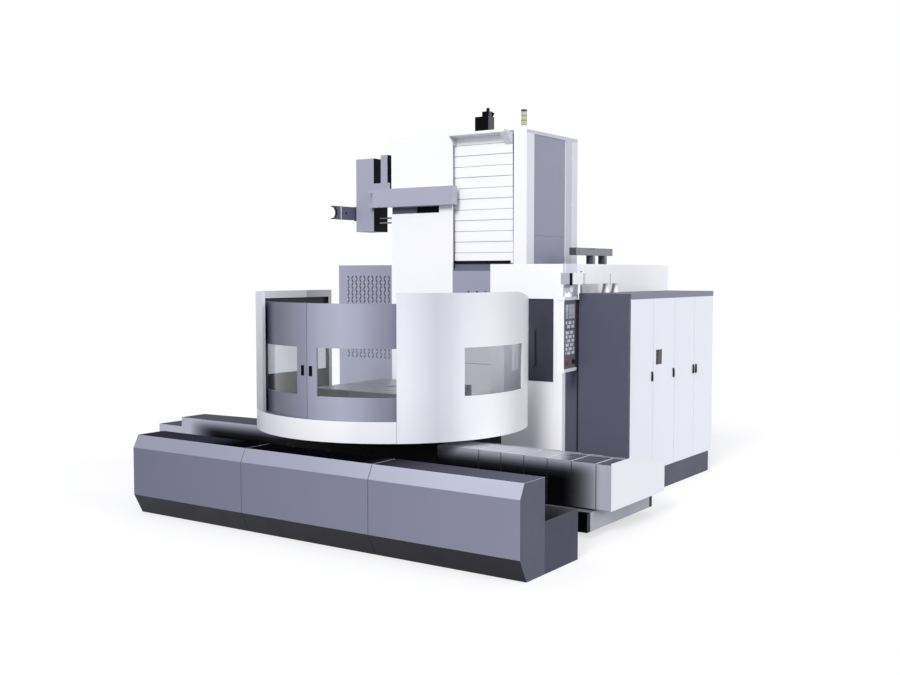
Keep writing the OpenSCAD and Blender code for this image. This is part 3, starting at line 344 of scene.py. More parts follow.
def cover_tone_with_painted_reflection(s):
    """The way covers' tone, with painted reflections: their tops are painted bright beside the saddle and
    slate where the dark cabinet is mirrored in them. In the front walls the splash guard's black back is
    painted as a soft-edged dark reflection, from below the top edge to short of both ends."""
    slant = node(s.tree, "ShaderNodeMath", {0: s.y, 1: 0.5, 2: s.x}, operation="MULTIPLY_ADD").outputs[0]
    tops = ramp(s, slant, (-1.2, "#5B5B65"), (-0.7, "#C8C8D2"), (1.0, "#DBDBE5"), (1.4, "#C3C3CC"),
                (1.75, "#B9B9C3"), (2.02, "#B9B9C3"), (2.15, "#5E5D6A"), (2.6, "#5A5A67"))
    guard_painted_reflection = ramp(s, s.z, (0.5, "#050508"), (0.56, "#1B1B20"), (0.59, "#3E3E47"), (0.62, "#666670"),
                (0.65, "#8C8C98"), (0.67, "#A0A0AB"))
    right, left = above(s, s.x, 2.72, 0.42), below(s, s.x, -2.5, 0.5)
    ends = node(s.tree, "ShaderNodeMath", {0: times(s, right, right, right), 1: times(s, left, left, left)},
                operation="ADD").outputs[0]
    return layered(s, "#C9CAD2", (looking(s, "front", 0.6, 0.8), layered(s, guard_painted_reflection, (ends, "#ACADB9"))),
                   (looking(s, "top", 0.6, 0.8), tops))


def painted_reflection_sides(s):
    """1 on the covers' fronts and tops, where their tone holds a painted reflection of what they mirror."""
    return node(s.tree, "ShaderNodeMath", {0: looking(s, "top", 0.6, 0.8), 1: looking(s, "front", 0.6, 0.8)},
                operation="MAXIMUM").outputs[0]


def satin_stainless():
    """Smooth satin stainless sheet on the way covers. On its fronts and tops what it mirrors is a painted
    reflection in its colour, where the sheet is not metal and barely shines; the brushing is drawn coarser
    than its real 0.2 mm."""
    s = new_surface("satin_stainless_sheet")
    drawn, lines = painted_reflection_sides(s), mottle(s, 5, 2.0, (60, 1, 1))
    shine = times(s, ramp(s, drawn, (0, 0.5), (1, 0.06)), above(s, s.x, -0.9, 0.5))
    return finish(s, (lines, 0.004), base_color=cover_tone_with_painted_reflection(s), metallic=ramp(s, drawn, (0, 1.0), (1, 0.0)),
                  specular_ior_level=shine, roughness=ramp(s, lines, (0.3, 0.24), (0.7, 0.3)))


def end_cover_sheet():
    """The smallest cover: stainless like the others, closed by a white enamelled end plate."""
    s = new_surface("stainless_cover_and_white_plate")
    plate, drawn = above(s, s.x, levels(corners("x_cover_right_end"), 0)[-2]), painted_reflection_sides(s)
    bare = times(s, ramp(s, plate, (0, 1.0), (1, 0.0)), ramp(s, drawn, (0, 1.0), (1, 0.0)))
    # The sheet carries the same painted reflection as the other covers.
    shown = layered(s, cover_tone_with_painted_reflection(s), (times(s, plate, looking(s, "right")), "#F0F1F7"))
    return finish(s, base_color=shown, metallic=bare, roughness=ramp(s, plate, (0, 0.26), (1, 0.4)),
                  specular_ior_level=ramp(s, drawn, (0, 0.5), (1, 0.06)))


def ground_iron():
    """Ground cast iron on the table: grey metal with the grinder's fine straight marks."""
    s = new_surface("ground_cast_iron", metallic=1.0)
    marks = mottle(s, 4, 3.0, (60, 1, 1))
    stained = ramp(s, mottle(s, 180, 5.0), (0.35, "#A9ABB0"), (0.75, "#8D8F96"))
    return finish(s, (marks, 0.01), base_color=stained, roughness=ramp(s, marks, (0.3, 0.3), (0.7, 0.38)))


def ground_steel():
    """Hardened steel, cylindrically ground: bright, with faint rings around the axis."""
    s = new_surface("ground_hardened_steel", metallic=1.0)
    rings = mottle(s, 3, 2.0, (30, 1, 30))
    return finish(s, base_color=layered(s, "#B4B6BC", (rings, "#CACCD2")),
                  roughness=ramp(s, rings, (0.3, 0.2), (0.7, 0.28)))


def beacon_plastic():
    """Pale green polycarbonate lens of three stacked rings, closed by a dark green cap."""
    s = new_surface("green_polycarbonate", roughness=0.25, ior=1.58)
    low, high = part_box("beacon_lens")
    cap = high.z - 24 * MM
    ring = (cap - low.z) / 3
    # Each ring is palest at its middle and darker toward its edges, painted shading across the ring; the dark
    # line where rings meet is their joint.
    rings = [(low.z + (i + share) * ring, tone) for i in range(3)
             for share, tone in ((0, "#727E58"), (0.15, "#9BA780"), (0.5, "#B4BD9C"), (0.9, "#A7B18C"))]
    return finish(s, base_color=ramp(s, s.z, *rings, (cap, "#727E58"), (cap + 1 * MM, "#2F3A22")))


def pendant_housing():
    """Pendant housing: pale moulded shell, with a dark keypad panel on its face."""
    s = new_surface("pendant_housing_coat", roughness=0.45)
    low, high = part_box("pendant")
    collar, cap = 37 * MM, 33 * MM
    toward = node(s.tree, "ShaderNodeVectorMath", {0: s.normal, 1: pendant_way()},
                  operation="DOT_PRODUCT").outputs["Value"]
    panel = times(s, above(s, s.z, low.z + cap), below(s, s.z, high.z - collar - cap),
                  above(s, toward, 0.97, 0.07))
    return finish(s, (mottle(s, 5, 2.0), 0.03), base_color=layered(s, "#EDEDF3", (panel, "#6B6A74")))


def cabinet_enamel():
    """Slate powder coat on the cabinet's case; the edge of the cap over the doors is paler, and the faces
    that look right and up are painted a shade darker.
    """
    s = new_surface("cabinet_powder_coat", specular_ior_level=0.2)
    cap = times(s, above(s, s.z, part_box("cabinet_door_1")[1].z + 2 * MM), looking(s, "right"))
    case = by_side(s, "#545565", right="#4C4C5E", top="#4C4D5A")
    return paint(s, layered(s, case, (cap, "#86869C")))


def cladding_enamel():
    """White powder coat on the column's side strips, with painted shade: the faces that look right are a tone
    darker, the strip behind their edge darker again, and the rearmost strip paler, as painted shading of a
    strip folded back."""
    s = new_surface("cladding_powder_coat")
    edge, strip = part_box("column_side_panels")[1].y, 0.162
    side = layered(s, "#E8E9F1", (above(s, s.y, edge), "#C8C9D4"), (above(s, s.y, edge + strip), "#DFE0E8"))
    return paint(s, by_side(s, "#F6F7FB", right=side), 0.985, 0.38)


def perforated_coat():
    """Grey coat on the perforated sheet; the depth of each slot is painted dark as shade."""
    s = new_surface("perforated_sheet_coat", specular_ior_level=0.3)
    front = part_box("perforated_guard")[0].y
    depth = times(s, above(s, s.y, front + 1.5 * MM, 0.5 * MM), below(s, s.y, front + 7 * MM))
    sheet = ramp(s, s.x, (-2.25, "#A0A1B4"), (-1.5, "#9495A8"))
    return paint(s, layered(s, sheet, (depth, "#16141F")), 0.98, 0.45)


def screen_glass():
    """Display behind glass: pale panes of a plain control page, with no lettering."""
    s = new_surface("display_glass", roughness=0.12)
    upright = node(s.tree, "ShaderNodeMapping", {
        "Vector": s.place, "Rotation": (math.radians(90), 0, math.radians(90))}).outputs[0]
    panes = node(s.tree, "ShaderNodeTexBrick", {
        "Vector": upright, "Color1": "#D9DCE0", "Color2": "#B4B7C0", "Mortar": "#6A6B74",
        "Scale": 18.0, "Mortar Size": 0.03, "Brick Width": 1.4, "Row Height": 0.5})
    return finish(s, base_color=panes.outputs["Color"])


MAKERS = {
    "shell": shell_enamel, "side_frame": frame_enamel, "doors": door_coat, "guard": guard_enamel,
    "trough": trough_enamel, "cast_bed": cast_bed_paint, "black_enamel": black_paint,
    "black_steel": feet_paint, "cover_sheet": satin_stainless, "end_cover": end_cover_sheet,
    "ground_iron": ground_iron, "ground_steel": ground_steel, "green_lens": beacon_plastic,
    "pendant_enamel": pendant_housing, "cabinet": cabinet_enamel, "cladding": cladding_enamel,
    "perforated": perforated_coat, "screen": screen_glass,
}
# Materials of two tones: the name, both tones, the grain, its depth in millimetres and the shader's
# values.
GLASS = {"roughness": 0.02, "transmission_weight": 1.0, "ior": 1.5}
TWO_TONES = {
    # Zinc-plated fasteners: pale grey metal, a little dull.
    "zinc": ("zinc_plated_steel", "#A6A8AE", "#C4C6CC", (6, 2.0), 0, {"metallic": 1.0, "roughness": 0.4}),
    # Laminated safety glass, clear or with a grey tint, and faintly smeared.
    "clear_glass": ("laminated_glass", "#F2F5F8", "#FBFCFD", (260, 3.0), 0, GLASS),
    "tinted_glass": ("tinted_safety_glass", "#B6B7BF", "#BDBEC5", (260, 3.0), 0, GLASS),
    # Smoked acrylic in the operator's hatch: nearly black and evenly glossy.
    "tinted_acrylic": ("smoked_acrylic", "#3D3C48", "#474653", (300, 3.0, (1, 1, 5)), 0,
                       {"roughness": 0.18, "specular_ior_level": 0.3}),
    # Black nitrile rubber of wipers, seals and cups: matt, without a sheen.
    "rubber": ("nitrile_rubber", "#09090C", "#131318", (60, 4.0), 0,
               {"roughness": 0.8, "specular_ior_level": 0.1}),
    # Red-brown anodised aluminium strip on the pendant's edge: satin, with drawn lines.
    "strip": ("brown_anodised_aluminium", "#6E4A4C", "#7C5656", (3, 2.0, (1, 1, 30)), 0,
              {"metallic": 0.6, "roughness": 0.4}),
    # Moulded ABS and its key caps: one colour with a fine spark-eroded grain.
    "red_plastic": ("red_abs", "#8E1F22", "#A02A2A", (3, 3.0), 0.05, {"roughness": 0.35}),
    "black_plastic": ("black_abs", "#0C0C10", "#17171C", (3, 3.0), 0.05,
                      {"roughness": 0.45, "specular_ior_level": 0.25}),
    "white_key": ("white_key_caps", "#DADBE2", "#ECEDF2", (3, 3.0), 0.05, {"roughness": 0.45}),
    "grey_key": ("grey_key_caps", "#7A7B88", "#8A8B98", (3, 3.0), 0.05, {"roughness": 0.45}),
    # Dark glass of the cabinet's port, with a dim reflection.
    "port": ("dark_port_glass", "#15151A", "#1B1B21", (3, 3.0), 0.05,
             {"roughness": 0.15, "specular_ior_level": 0.3}),
}
# Powder coats: the material's name, its colour, roughness, evenness and gloss, and tones by side, which paint
# light and shade on the faces that look that way.
COATS = {
    "white_enamel": ("white_powder_coat", "white", 0.38, 0.985, 0.5, {}),
    "white_slats": ("white_slat_enamel", "slats", 0.32, 0.99, 0.5, {}),
    "wall": ("wall_powder_coat", "fences", 0.38, 0.99, 0.5, {"top": "#6C6B76"}),
    "boom": ("boom_powder_coat", "fences", 0.38, 0.99, 0.5, {"front": "#AEAEB9"}),
    "fence": ("fence_powder_coat", "#FBFCFF", 0.38, 0.99, 0.5, {"front": "#CBCBD6"}),
    "roof": ("roof_powder_coat", "white", 0.4, 0.985, 0.5, {"right": "#CBCBD4"}),
    "door_enamel": ("pale_door_powder_coat", "cabinet_doors", 0.42, 0.985, 0.5,
                    {"front": "#5A5A68", "back": "#5A5A68"}),
    "panel": ("blue_grey_powder_coat", "column_panels", 0.42, 0.97, 0.5, {}),
    "slate_enamel": ("slate_powder_coat", "slate", 0.42, 0.97, 0.35, {}),
    "headstock_enamel": ("headstock_powder_coat", "#5E5F70", 0.42, 0.97, 0.35, {"front": "#9A9BAE"}),
    "gripper_enamel": ("gripper_powder_coat", "#0C0C11", 0.42, 0.97, 0.15, {"right": "#67677A"}),
    "beam": ("pale_grey_powder_coat", "changer_beam", 0.42, 0.97, 0.5, {"right": "#B4B4BC"}),
    "housing": ("changer_powder_coat", "#101016", 0.42, 0.97, 0.12,
                {"front": "#A4A4B6", "left": "#8A8A9C", "top": "#6A6A78"}),
    "feet": ("black_foot_paint", "#020203", 0.42, 0.97, 0.02, {"right": "#403E48"}),
    "bridge": ("bridge_powder_coat", "#3A3A44", 0.42, 0.97, 0.5, {"right": "#83848F", "top": "#B8B9C0"}),
    "motor": ("motor_cover_coat", "#07070A", 0.42, 0.97, 0.04, {"right": "#55555C"}),
    # The seam coat paints the shadow in the slats' folds and is also the colour of sheet joints and the
    # door's edge seal; the cover seam coat paints the shadow at the covers' edges and beside the cabinet.
    "seam": ("seam_shadow_paint", "#6A6B78", 0.42, 0.97, 0.2, {}),
    "cover_seam": ("cover_edge_shadow", "#24242B", 0.42, 0.97, 0.1, {}),
}
MADE = {}


def material_of(kind):
    """The material of that kind, made once."""
    if kind not in MADE:
        if kind in COATS:
            *values, sides = COATS[kind]
            MADE[kind] = powder_coat(*values, **sides)
        elif kind in TWO_TONES:
            *values, shine = TWO_TONES[kind]
            MADE[kind] = two_tone(*values, **shine)
        else:
            MADE[kind] = MAKERS[kind]()
    return MADE[kind]


# ---- Reading the frame ----

def corners(name):
    """A CAD node's own points as an array."""
    mesh = frame["nodes"][name].data
    points = np.zeros(len(mesh.vertices) * 3)
    mesh.vertices.foreach_get("co", points)
    return np.unique(points.reshape(-1, 3).round(5), axis=0)


def polar(points):
    """Radii and angles in degrees of points about the table's axis."""
    return np.hypot(points[:, 0], points[:, 1]), np.degrees(np.arctan2(points[:, 1], points[:, 0]))


def levels(points, axis=2):
    """The distinct heights, or other coordinates, at which points lie."""
    return sorted(set(points[:, axis].round(4)))


def joint(name):
    """A joint of the record."""
    return next(j for j in RECORD["behaviour"]["joints"] if j["name"] == name)


def pendant_way():
    """The way that the pendant's face looks."""
    return tuple(joint("override_turn")["axis"])


def body_of_node(name):
    """The body that a CAD node rides on."""
    return body_of(frame["nodes"][name])[0]


# ---- Making pieces ----

def finish_node(name, kind=None):
    """Gives a CAD node its material."""
    data = frame["nodes"][name].data
    data.materials.clear()
    data.materials.append(material_of(kind or SLOT_OF[name]))


def corner_normals(mesh, rolled):
    """Normals that keep flat faces flat up to their rounded edges. On a rolled wall they point
    straight away from the table's axis."""
    faces = mesh.polygons
    around = {}
    for face in faces:
        for v in face.vertices:
            around.setdefault(v, []).append(face)
    made = []
    for face in faces:
        out = Vector((face.center.x, face.center.y, 0))
        wall = rolled and out.length > 1.0 and abs(face.normal.dot(out.normalized())) > 0.997
        for v in face.vertices:
            co = mesh.vertices[v].co
            if wall:
                away = Vector((co.x, co.y, 0)).normalized()
                made.append(away if face.normal.dot(out) > 0 else -away)
            else:
                total = sum((f.area * f.normal for f in around[v] if f.normal.dot(face.normal) > 0.64),
                            Vector())
                made.append(total.normalized() if total.length > 0 else face.normal.copy())
    return made


def add_mesh(name, mesh, body, kind, smooth=30):
    """Puts a finished mesh on a body, flat or smooth below an angle."""
    mesh.materials.clear()
    mesh.materials.append(material_of(kind))
    if smooth:
        mesh.polygons.foreach_set("use_smooth", [True] * len(mesh.polygons))
        mesh.set_sharp_from_angle(angle=math.radians(smooth))
    made = bpy.data.objects.new(name, mesh)
    bpy.context.scene.collection.objects.link(made)
    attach(made, body)
    return made


def add_piece(name, bm, body, kind, smooth=30):
    """Turns a bmesh into a finished piece on a body, with the finish of its kind."""
    mesh = bpy.data.meshes.new(name)
    bm.to_mesh(mesh)
    bm.free()
    return add_mesh(name, mesh, body, kind, smooth)


def dress(name, bevel_mm, kind=None, rolled=False):
    """A copy of a CAD node with its flat faces whole and its edges rounded, shown in its place."""
    bm = bmesh.new()
    bm.from_mesh(frame["nodes"][name].data)
    bmesh.ops.remove_doubles(bm, verts=bm.verts, dist=1e-5)
    bmesh.ops.dissolve_limit(bm, angle_limit=math.radians(0.3), verts=bm.verts, edges=bm.edges)
    if bevel_mm:
        sharp = [e for e in bm.edges if len(e.link_faces) == 2 and e.calc_face_angle(0) > math.radians(25)]
        bmesh.ops.bevel(bm, geom=sharp, offset=bevel_mm * MM, offset_type="OFFSET", segments=2,
                        profile=0.5, affect="EDGES", clamp_overlap=True)
    made = add_piece(name + "_skin", bm, body_of_node(name), kind or SLOT_OF[name], 0)
    made.data.polygons.foreach_set("use_smooth", [True] * len(made.data.polygons))
    made.data.normals_split_custom_set(corner_normals(made.data, rolled))
    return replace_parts(made, name)


def add_slab(bm, low, high, bevel_mm=1.5, turn=None):
    """A block with rounded edges between two corners."""
    low, high = Vector(low), Vector(high)
    size, middle = high - low, (high + low) / 2
    made = bmesh.ops.create_cube(bm, size=1.0)["verts"]
    for v in made:
        v.co = Vector((v.co.x * size.x, v.co.y * size.y, v.co.z * size.z)) + middle
    edges = list({e for v in made for e in v.link_edges})
    width = min(bevel_mm * MM, 0.3 * min(size))
    done = bmesh.ops.bevel(bm, geom=edges, offset=width, segments=2, profile=0.5, affect="EDGES")
    if turn:
        verts = set(done["verts"]) | {v for f in done["faces"] for v in f.verts}
        verts |= {v for v in made if v.is_valid}
        bmesh.ops.transform(bm, matrix=turn, verts=list(verts))


def add_block(name, low, high, bevel_mm, body, kind, turn=None):
    """A block with rounded edges as a piece of its own."""
    bm = bmesh.new()
    add_slab(bm, low, high, bevel_mm, turn)
    return add_piece(name, bm, body, kind)


def add_arc(bm, r0, r1, a0, a1, z0, z1, step_deg=1.5):
    """A closed curved bar on a circle about the table's axis."""
    count = max(2, int(abs(a1 - a0) / step_deg) + 1)
    rings = []
    for i in range(count + 1):
        a = math.radians(a0 + (a1 - a0) * i / count)
        way = Vector((math.cos(a), math.sin(a), 0))
        rings.append([bm.verts.new(way * r + UP * z) for r, z in ((r0, z0), (r1, z0), (r1, z1), (r0, z1))])
    for here, there in zip(rings, rings[1:]):
        for k in range(4):
            bm.faces.new((here[k], here[(k + 1) % 4], there[(k + 1) % 4], there[k]))
    bm.faces.new(rings[0][::-1])
    bm.faces.new(rings[-1])
    bmesh.ops.recalc_face_normals(bm, faces=bm.faces)


# ---- Geometry Nodes ----

def new_tree(name, inputs):
    """A Geometry Nodes tree with named inputs, and its input and output nodes."""
    tree = bpy.data.node_groups.new(name, "GeometryNodeTree")
    tree.interface.new_socket("Geometry", in_out="INPUT", socket_type="NodeSocketGeometry")
    for label, kind in inputs:
        tree.interface.new_socket(label, in_out="INPUT", socket_type="NodeSocket" + kind)
    tree.interface.new_socket("Geometry", in_out="OUTPUT", socket_type="NodeSocketGeometry")
    return tree, node(tree, "NodeGroupInput").outputs, node(tree, "NodeGroupOutput").inputs[0]


def close_tree(tree, shape, material, out):
    """Ends a tree in Realize Instances and Set Material."""
    whole = node(tree, "GeometryNodeRealizeInstances", {0: shape}).outputs[0]
    painted = node(tree, "GeometryNodeSetMaterial", {"Geometry": whole, "Material": material})
    tree.links.new(painted.outputs[0], out)


def grow(name, tree, source, values, body, kind, smooth=30):
    """Runs a tree on a source mesh and keeps the result as one plain piece on a body."""
    holder = bpy.data.objects.new(name + "_source", source)
    bpy.context.scene.collection.objects.link(holder)
    modifier = holder.modifiers.new("grow", "NODES")
    modifier.node_group = tree
    names = {item.name: item.identifier for item in tree.interface.items_tree if item.in_out == "INPUT"}
    for label, value in {**values, "Material": material_of(kind)}.items():
        modifier[names[label]] = value
    graph = bpy.context.evaluated_depsgraph_get()
    mesh = bpy.data.meshes.new_from_object(holder.evaluated_get(graph))
    holder.modifiers.clear()
    bpy.data.objects.remove(holder)
    mesh.name = name
    if not len(mesh.polygons):
        raise RuntimeError(f"{name}: the tree made no faces")
    return add_mesh(name, mesh, body, kind, smooth)


def points_mesh(places):
    """A mesh of loose points, each with the way it faces: places holds (point, facing)."""
    mesh = bpy.data.meshes.new("places")
    mesh.from_pydata([tuple(p) for p, _ in places], [], [])
    attribute = mesh.attributes.new("facing", "FLOAT_VECTOR", "POINT")
    attribute.data.foreach_set("vector", [c for _, f in places for c in f])
    return mesh


def line_mesh(points):
    """A mesh of one open line through points."""
    mesh = bpy.data.meshes.new("line")
    mesh.from_pydata([tuple(p) for p in points], [(i, i + 1) for i in range(len(points) - 1)], [])
    return mesh


def placed_tree(name, inputs, shape_of):
    """A tree that puts one shape at each point, turned to the way that the point faces."""
    tree, given, out = new_tree(name, inputs + [("Material", "Material")])
    ways = node(tree, "GeometryNodeInputNamedAttribute", {"Name": "facing"}, data_type="FLOAT_VECTOR")
    turned = node(tree, "FunctionNodeAlignRotationToVector", {"Vector": ways.outputs[0]}, axis="Z")
    dots = node(tree, "GeometryNodeMeshToPoints", {"Mesh": given["Geometry"]}).outputs[0]
    placed = node(tree, "GeometryNodeInstanceOnPoints", {
        "Points": dots, "Instance": shape_of(tree, given), "Rotation": turned.outputs[0]})
    close_tree(tree, placed.outputs[0], given["Material"], out)
    return tree


def with_washer(tree, given, head, vertices, spread):
    """A head on a washer that is wider than the head's radius by the factor spread."""
    wide = node(tree, "ShaderNodeMath", {0: given["Head Radius"], 1: spread}, operation="MULTIPLY")
    washer = node(tree, "GeometryNodeMeshCylinder", {
        "Vertices": vertices, "Radius": wide.outputs[0], "Depth": given["Washer Height"]}).outputs[0]
    return node(tree, "GeometryNodeJoinGeometry", {0: [head, washer]}).outputs[0]


def button_head(tree, given):
    """A domed screw head on a thin washer."""
    dome = node(tree, "GeometryNodeMeshUVSphere", {
        "Segments": 12, "Rings": 6, "Radius": given["Head Radius"]}).outputs[0]
    domed = node(tree, "GeometryNodeTransform", {"Geometry": dome, "Scale": (1.0, 1.0, 0.42)}).outputs[0]
    return with_washer(tree, given, domed, 12, 1.35)


def hex_head(tree, given):
    """A hexagon head on a thick washer."""
    high, half = (node(tree, "ShaderNodeMath", {0: given["Head Radius"], 1: share},
                       operation="MULTIPLY").outputs[0] for share in (0.7, 0.35))
    head = node(tree, "GeometryNodeMeshCylinder", {
        "Vertices": 6, "Radius": given["Head Radius"], "Depth": high}).outputs[0]
    shift = node(tree, "ShaderNodeCombineXYZ", {2: half}).outputs[0]
    raised = node(tree, "GeometryNodeTransform", {"Geometry": head, "Translation": shift}).outputs[0]
    return with_washer(tree, given, raised, 16, 1.4)


def ring_shape(tree, given):
    """A flat washer-like ring, swept from a small rectangle."""
    circle = node(tree, "GeometryNodeCurvePrimitiveCircle", {
        "Resolution": 48, "Radius": given["Head Radius"]}).outputs[0]
    width = node(tree, "ShaderNodeMath", {0: given["Head Radius"], 1: 0.22}, operation="MULTIPLY").outputs[0]
    section = node(tree, "GeometryNodeCurvePrimitiveQuadrilateral", {
        "Width": width, "Height": given["Washer Height"]}).outputs[0]
    return node(tree, "GeometryNodeCurveToMesh", {"Curve": circle, "Profile Curve": section}).outputs[0]


def plain_bar(tree, given):
    """A bar, such as a slat, fin, key or mark, centred on its point."""
    size = node(tree, "ShaderNodeCombineXYZ", {
        0: given["Length"], 1: given["Width"], 2: given["Height"]}).outputs[0]
    return node(tree, "GeometryNodeMeshCube", {"Size": size}).outputs[0]


def lip_tree():
    """A tree that sweeps a flat strip along a line."""
    tree, given, out = new_tree("edge_lip", [("Width", "Float"), ("Height", "Float"),
                                             ("Material", "Material")])
    path = node(tree, "GeometryNodeMeshToCurve", {"Mesh": given["Geometry"]}).outputs[0]
    section = node(tree, "GeometryNodeCurvePrimitiveQuadrilateral", {
        "Width": given["Width"], "Height": given["Height"]}).outputs[0]
    swept = node(tree, "GeometryNodeCurveToMesh", {
        "Curve": path, "Profile Curve": section, "Fill Caps": True}).outputs[0]
    close_tree(tree, swept, given["Material"], out)
    return tree


SCREW = [("Head Radius", "Float"), ("Washer Height", "Float")]
BAR = [("Length", "Float"), ("Width", "Float"), ("Height", "Float")]
TREE_MAKERS = {
    "buttons": lambda: placed_tree("button_screws", SCREW, button_head),
    "bolts": lambda: placed_tree("hexagon_bolts", SCREW, hex_head),
    "rings": lambda: placed_tree("flat_rings", SCREW, ring_shape),
    "bars": lambda: placed_tree("repeated_bars", BAR, plain_bar),
    "lip": lip_tree,
}
TREES = {}


def tree_of(name):
    """A shared tree, built once."""
    if name not in TREES:
        TREES[name] = TREE_MAKERS[name]()
    return TREES[name]


def screws(name, places, body, kind="zinc", radius_mm=None, heads="buttons"):
    """Screws or bolts at places, as one piece."""
    radius = radius_mm * MM if radius_mm else bpy.context.scene.mill_fittings.screw_radius
    return grow(name, tree_of(heads), points_mesh(places),
                {"Head Radius": radius, "Washer Height": 2 * MM}, body, kind)


def row(start, end, way, pitch):
    """Places along a line about pitch apart, both ends included."""
    start, end = Vector(start), Vector(end)
    count = max(1, round((end - start).length / pitch))
    return [(start.lerp(end, i / count), way) for i in range(count + 1)]


def bars(name, places, size, body, kind):
    """Equal bars at places, as one piece. Size is length, width and height along the facing."""
    return grow(name, tree_of("bars"), points_mesh(places),
                dict(zip(("Length", "Width", "Height"), size)), body, kind, smooth=0)


# ---- Settings ----

def size_of(label, use, size_mm):
    """A size that a user may change."""
    return bpy.props.FloatProperty(name=label, description=use, default=size_mm * MM, unit="LENGTH")


class MillFittings(bpy.types.PropertyGroup):
    """Sizes of the fittings."""

    screw_radius: size_of("Screw head radius", "Radius of a cover screw's head", 6)
    lip_width: size_of("Lip width", "Width of the bright guide lip at the edge of each way cover", 9)
    # The lip is a white strip along each cover's edge that paints the edge's highlight.
    seam_width: size_of("Seam width", "Width of the dark seams between cover slats", 5)
    # The seams are real folds; their dark is painted shadow.
    edge_radius: size_of("Edge radius", "Radius of the folded edges of sheet-metal covers", 2.5)


def colour_of(label, use, code):
    """A colour that a user may change."""
    return bpy.props.FloatVectorProperty(name=label, description="Colour of " + use, subtype="COLOR",
                                         size=4, min=0.0, max=1.0, default=linear(code))


class MillColours(bpy.types.PropertyGroup):
    """Colours of the coats."""

    white: colour_of("White coat", "the column's roof, the tool tower and small fittings", "#F6F7FB")
    slats: colour_of("Slat covers", "the slat covers above and below the headstock", "#F9F9FC")
    fences: colour_of("Fences", "the operator's wall and the boom arm", "#FBFBFE")
    cabinet_doors: colour_of("Cabinet doors", "the electrical cabinet's doors", "#F0F2FA")
    column_panels: colour_of("Column panels", "the column's side panels and rear covers", "#9495A8")
    slate: colour_of("Slate coat", "the small slate fittings", "#565667")
    changer_beam: colour_of("Changer beam", "the tool changer's beam", "#A9A9BB")


def edge_mm():
    """The folded edges' radius, in millimetres."""
    return bpy.context.scene.mill_fittings.edge_radius / MM


class MILL_OT_guard(bpy.types.Operator):
    """Dresses the front splash guard and its trough"""

    bl_idname = "mill.guard"
    bl_label = "Guard and trough"

    def execute(self, context):
        for name in ("guard_panel_left", "guard_panel_middle", "guard_panel_right"):
            dress(name, edge_mm(), "guard")
        dress("chip_trough", 2, "trough")
        low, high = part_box("guard_panel_left")[0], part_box("guard_panel_right")[1]
        y = high.y - 22 * MM
        along = row((low.x + 0.1, y, high.z), (high.x - 0.1, y, high.z), UP, pitch=0.42)
        screws("guard_top_screws", along, "root", "black_steel")
        return {"FINISHED"}


class MILL_OT_beds(bpy.types.Operator):
    """Dresses both beds, their feet and the saddle"""

    bl_idname = "mill.beds"
    bl_label = "Beds and saddle"

    def execute(self, context):
        for name in ("x_bed", "z_bed", "saddle"):
            finish_node(name)
        finish_node("levelling_feet", "feet")
        low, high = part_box("z_bed")
        places, bolt_z = [], 0.16
        for x, way in ((high.x + 1 * MM, RIGHT), (low.x - 1 * MM, LEFT)):
            places += row((x, low.y + 0.3, bolt_z), (x, high.y - 0.2, bolt_z), way, pitch=0.6)
        screws("bed_side_bolts", places, "root", "black_steel", radius_mm=14, heads="bolts")
        return {"FINISHED"}


class MILL_OT_covers(bpy.types.Operator):
    """Dresses the telescopic way covers and puts a white strip, a painted highlight, at the edge of each"""

    bl_idname = "mill.covers"
    bl_label = "Way covers"

    def execute(self, context):
        finish_node("x_cover_left_end", "cover_sheet")
        finish_node("x_cover_right_end", "end_cover")
        for name in ["saddle_covers"] + [f"x_cover_{k}" for k in range(1, 6)]:
            finish_node(name, "cover_sheet")
            self.lip(name, context.scene.mill_fittings.lip_width)
        return {"FINISHED"}

    def lip(self, name, width):
        """A white strip over the top edge as a painted highlight, and a dark grey one down the front wall's
        edge as a painted shadow.
        """
        points = corners(name)
        edge = points[:, 0].max()
        near = points[points[:, 0] > edge - 1e-4]
        top, foot = near[:, 2].max(), near[:, 2].min()
        y0, y1 = near[:, 1].min(), near[:, 1].max()
        ridge = near[near[:, 2] > top - 1e-4][:, 1].max()
        front = near[near[:, 1] < y0 + 1e-4][:, 2].max()
        rear = near[near[:, 1] > y1 - 1e-4][:, 2].max()
        x, body = edge - width / 2, body_of_node(name)
        over = line_mesh([(x, y0, front), (x, ridge, top), (x, y1, rear)])
        grow(name + "_lip", tree_of("lip"), over, {"Width": width, "Height": 2 * MM}, body,
             "white_enamel", smooth=0)
        x = edge - 2.5 * MM
        down = line_mesh([(x, y0, foot), (x, y0, front - 2 * MM)])
        grow(name + "_edge", tree_of("lip"), down, {"Width": 5 * MM, "Height": 2 * MM}, body,
             "cover_seam", smooth=0)


class MILL_OT_table(bpy.types.Operator):
    """Dresses the rotary table and marks its turning scale"""

    bl_idname = "mill.table"
    bl_label = "Rotary table"

    def execute(self, context):
        dress("rotary_table", 1)
        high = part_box("rotary_table")[1]
        screws("table_bore_ring", [(UP * high.z, UP)], "rotary_table", "ground_steel", radius_mm=57,
               heads="rings")
        x, scale_z = high.x + 0.5 * MM, high.z - 60 * MM
        marks = [((x, y, scale_z), RIGHT) for y in np.arange(-0.5, 0.51, 0.05)]
        bars("table_scale_marks", marks, (2 * MM, 18 * MM, 1 * MM), "rotary_table", "black_steel")
        return {"FINISHED"}


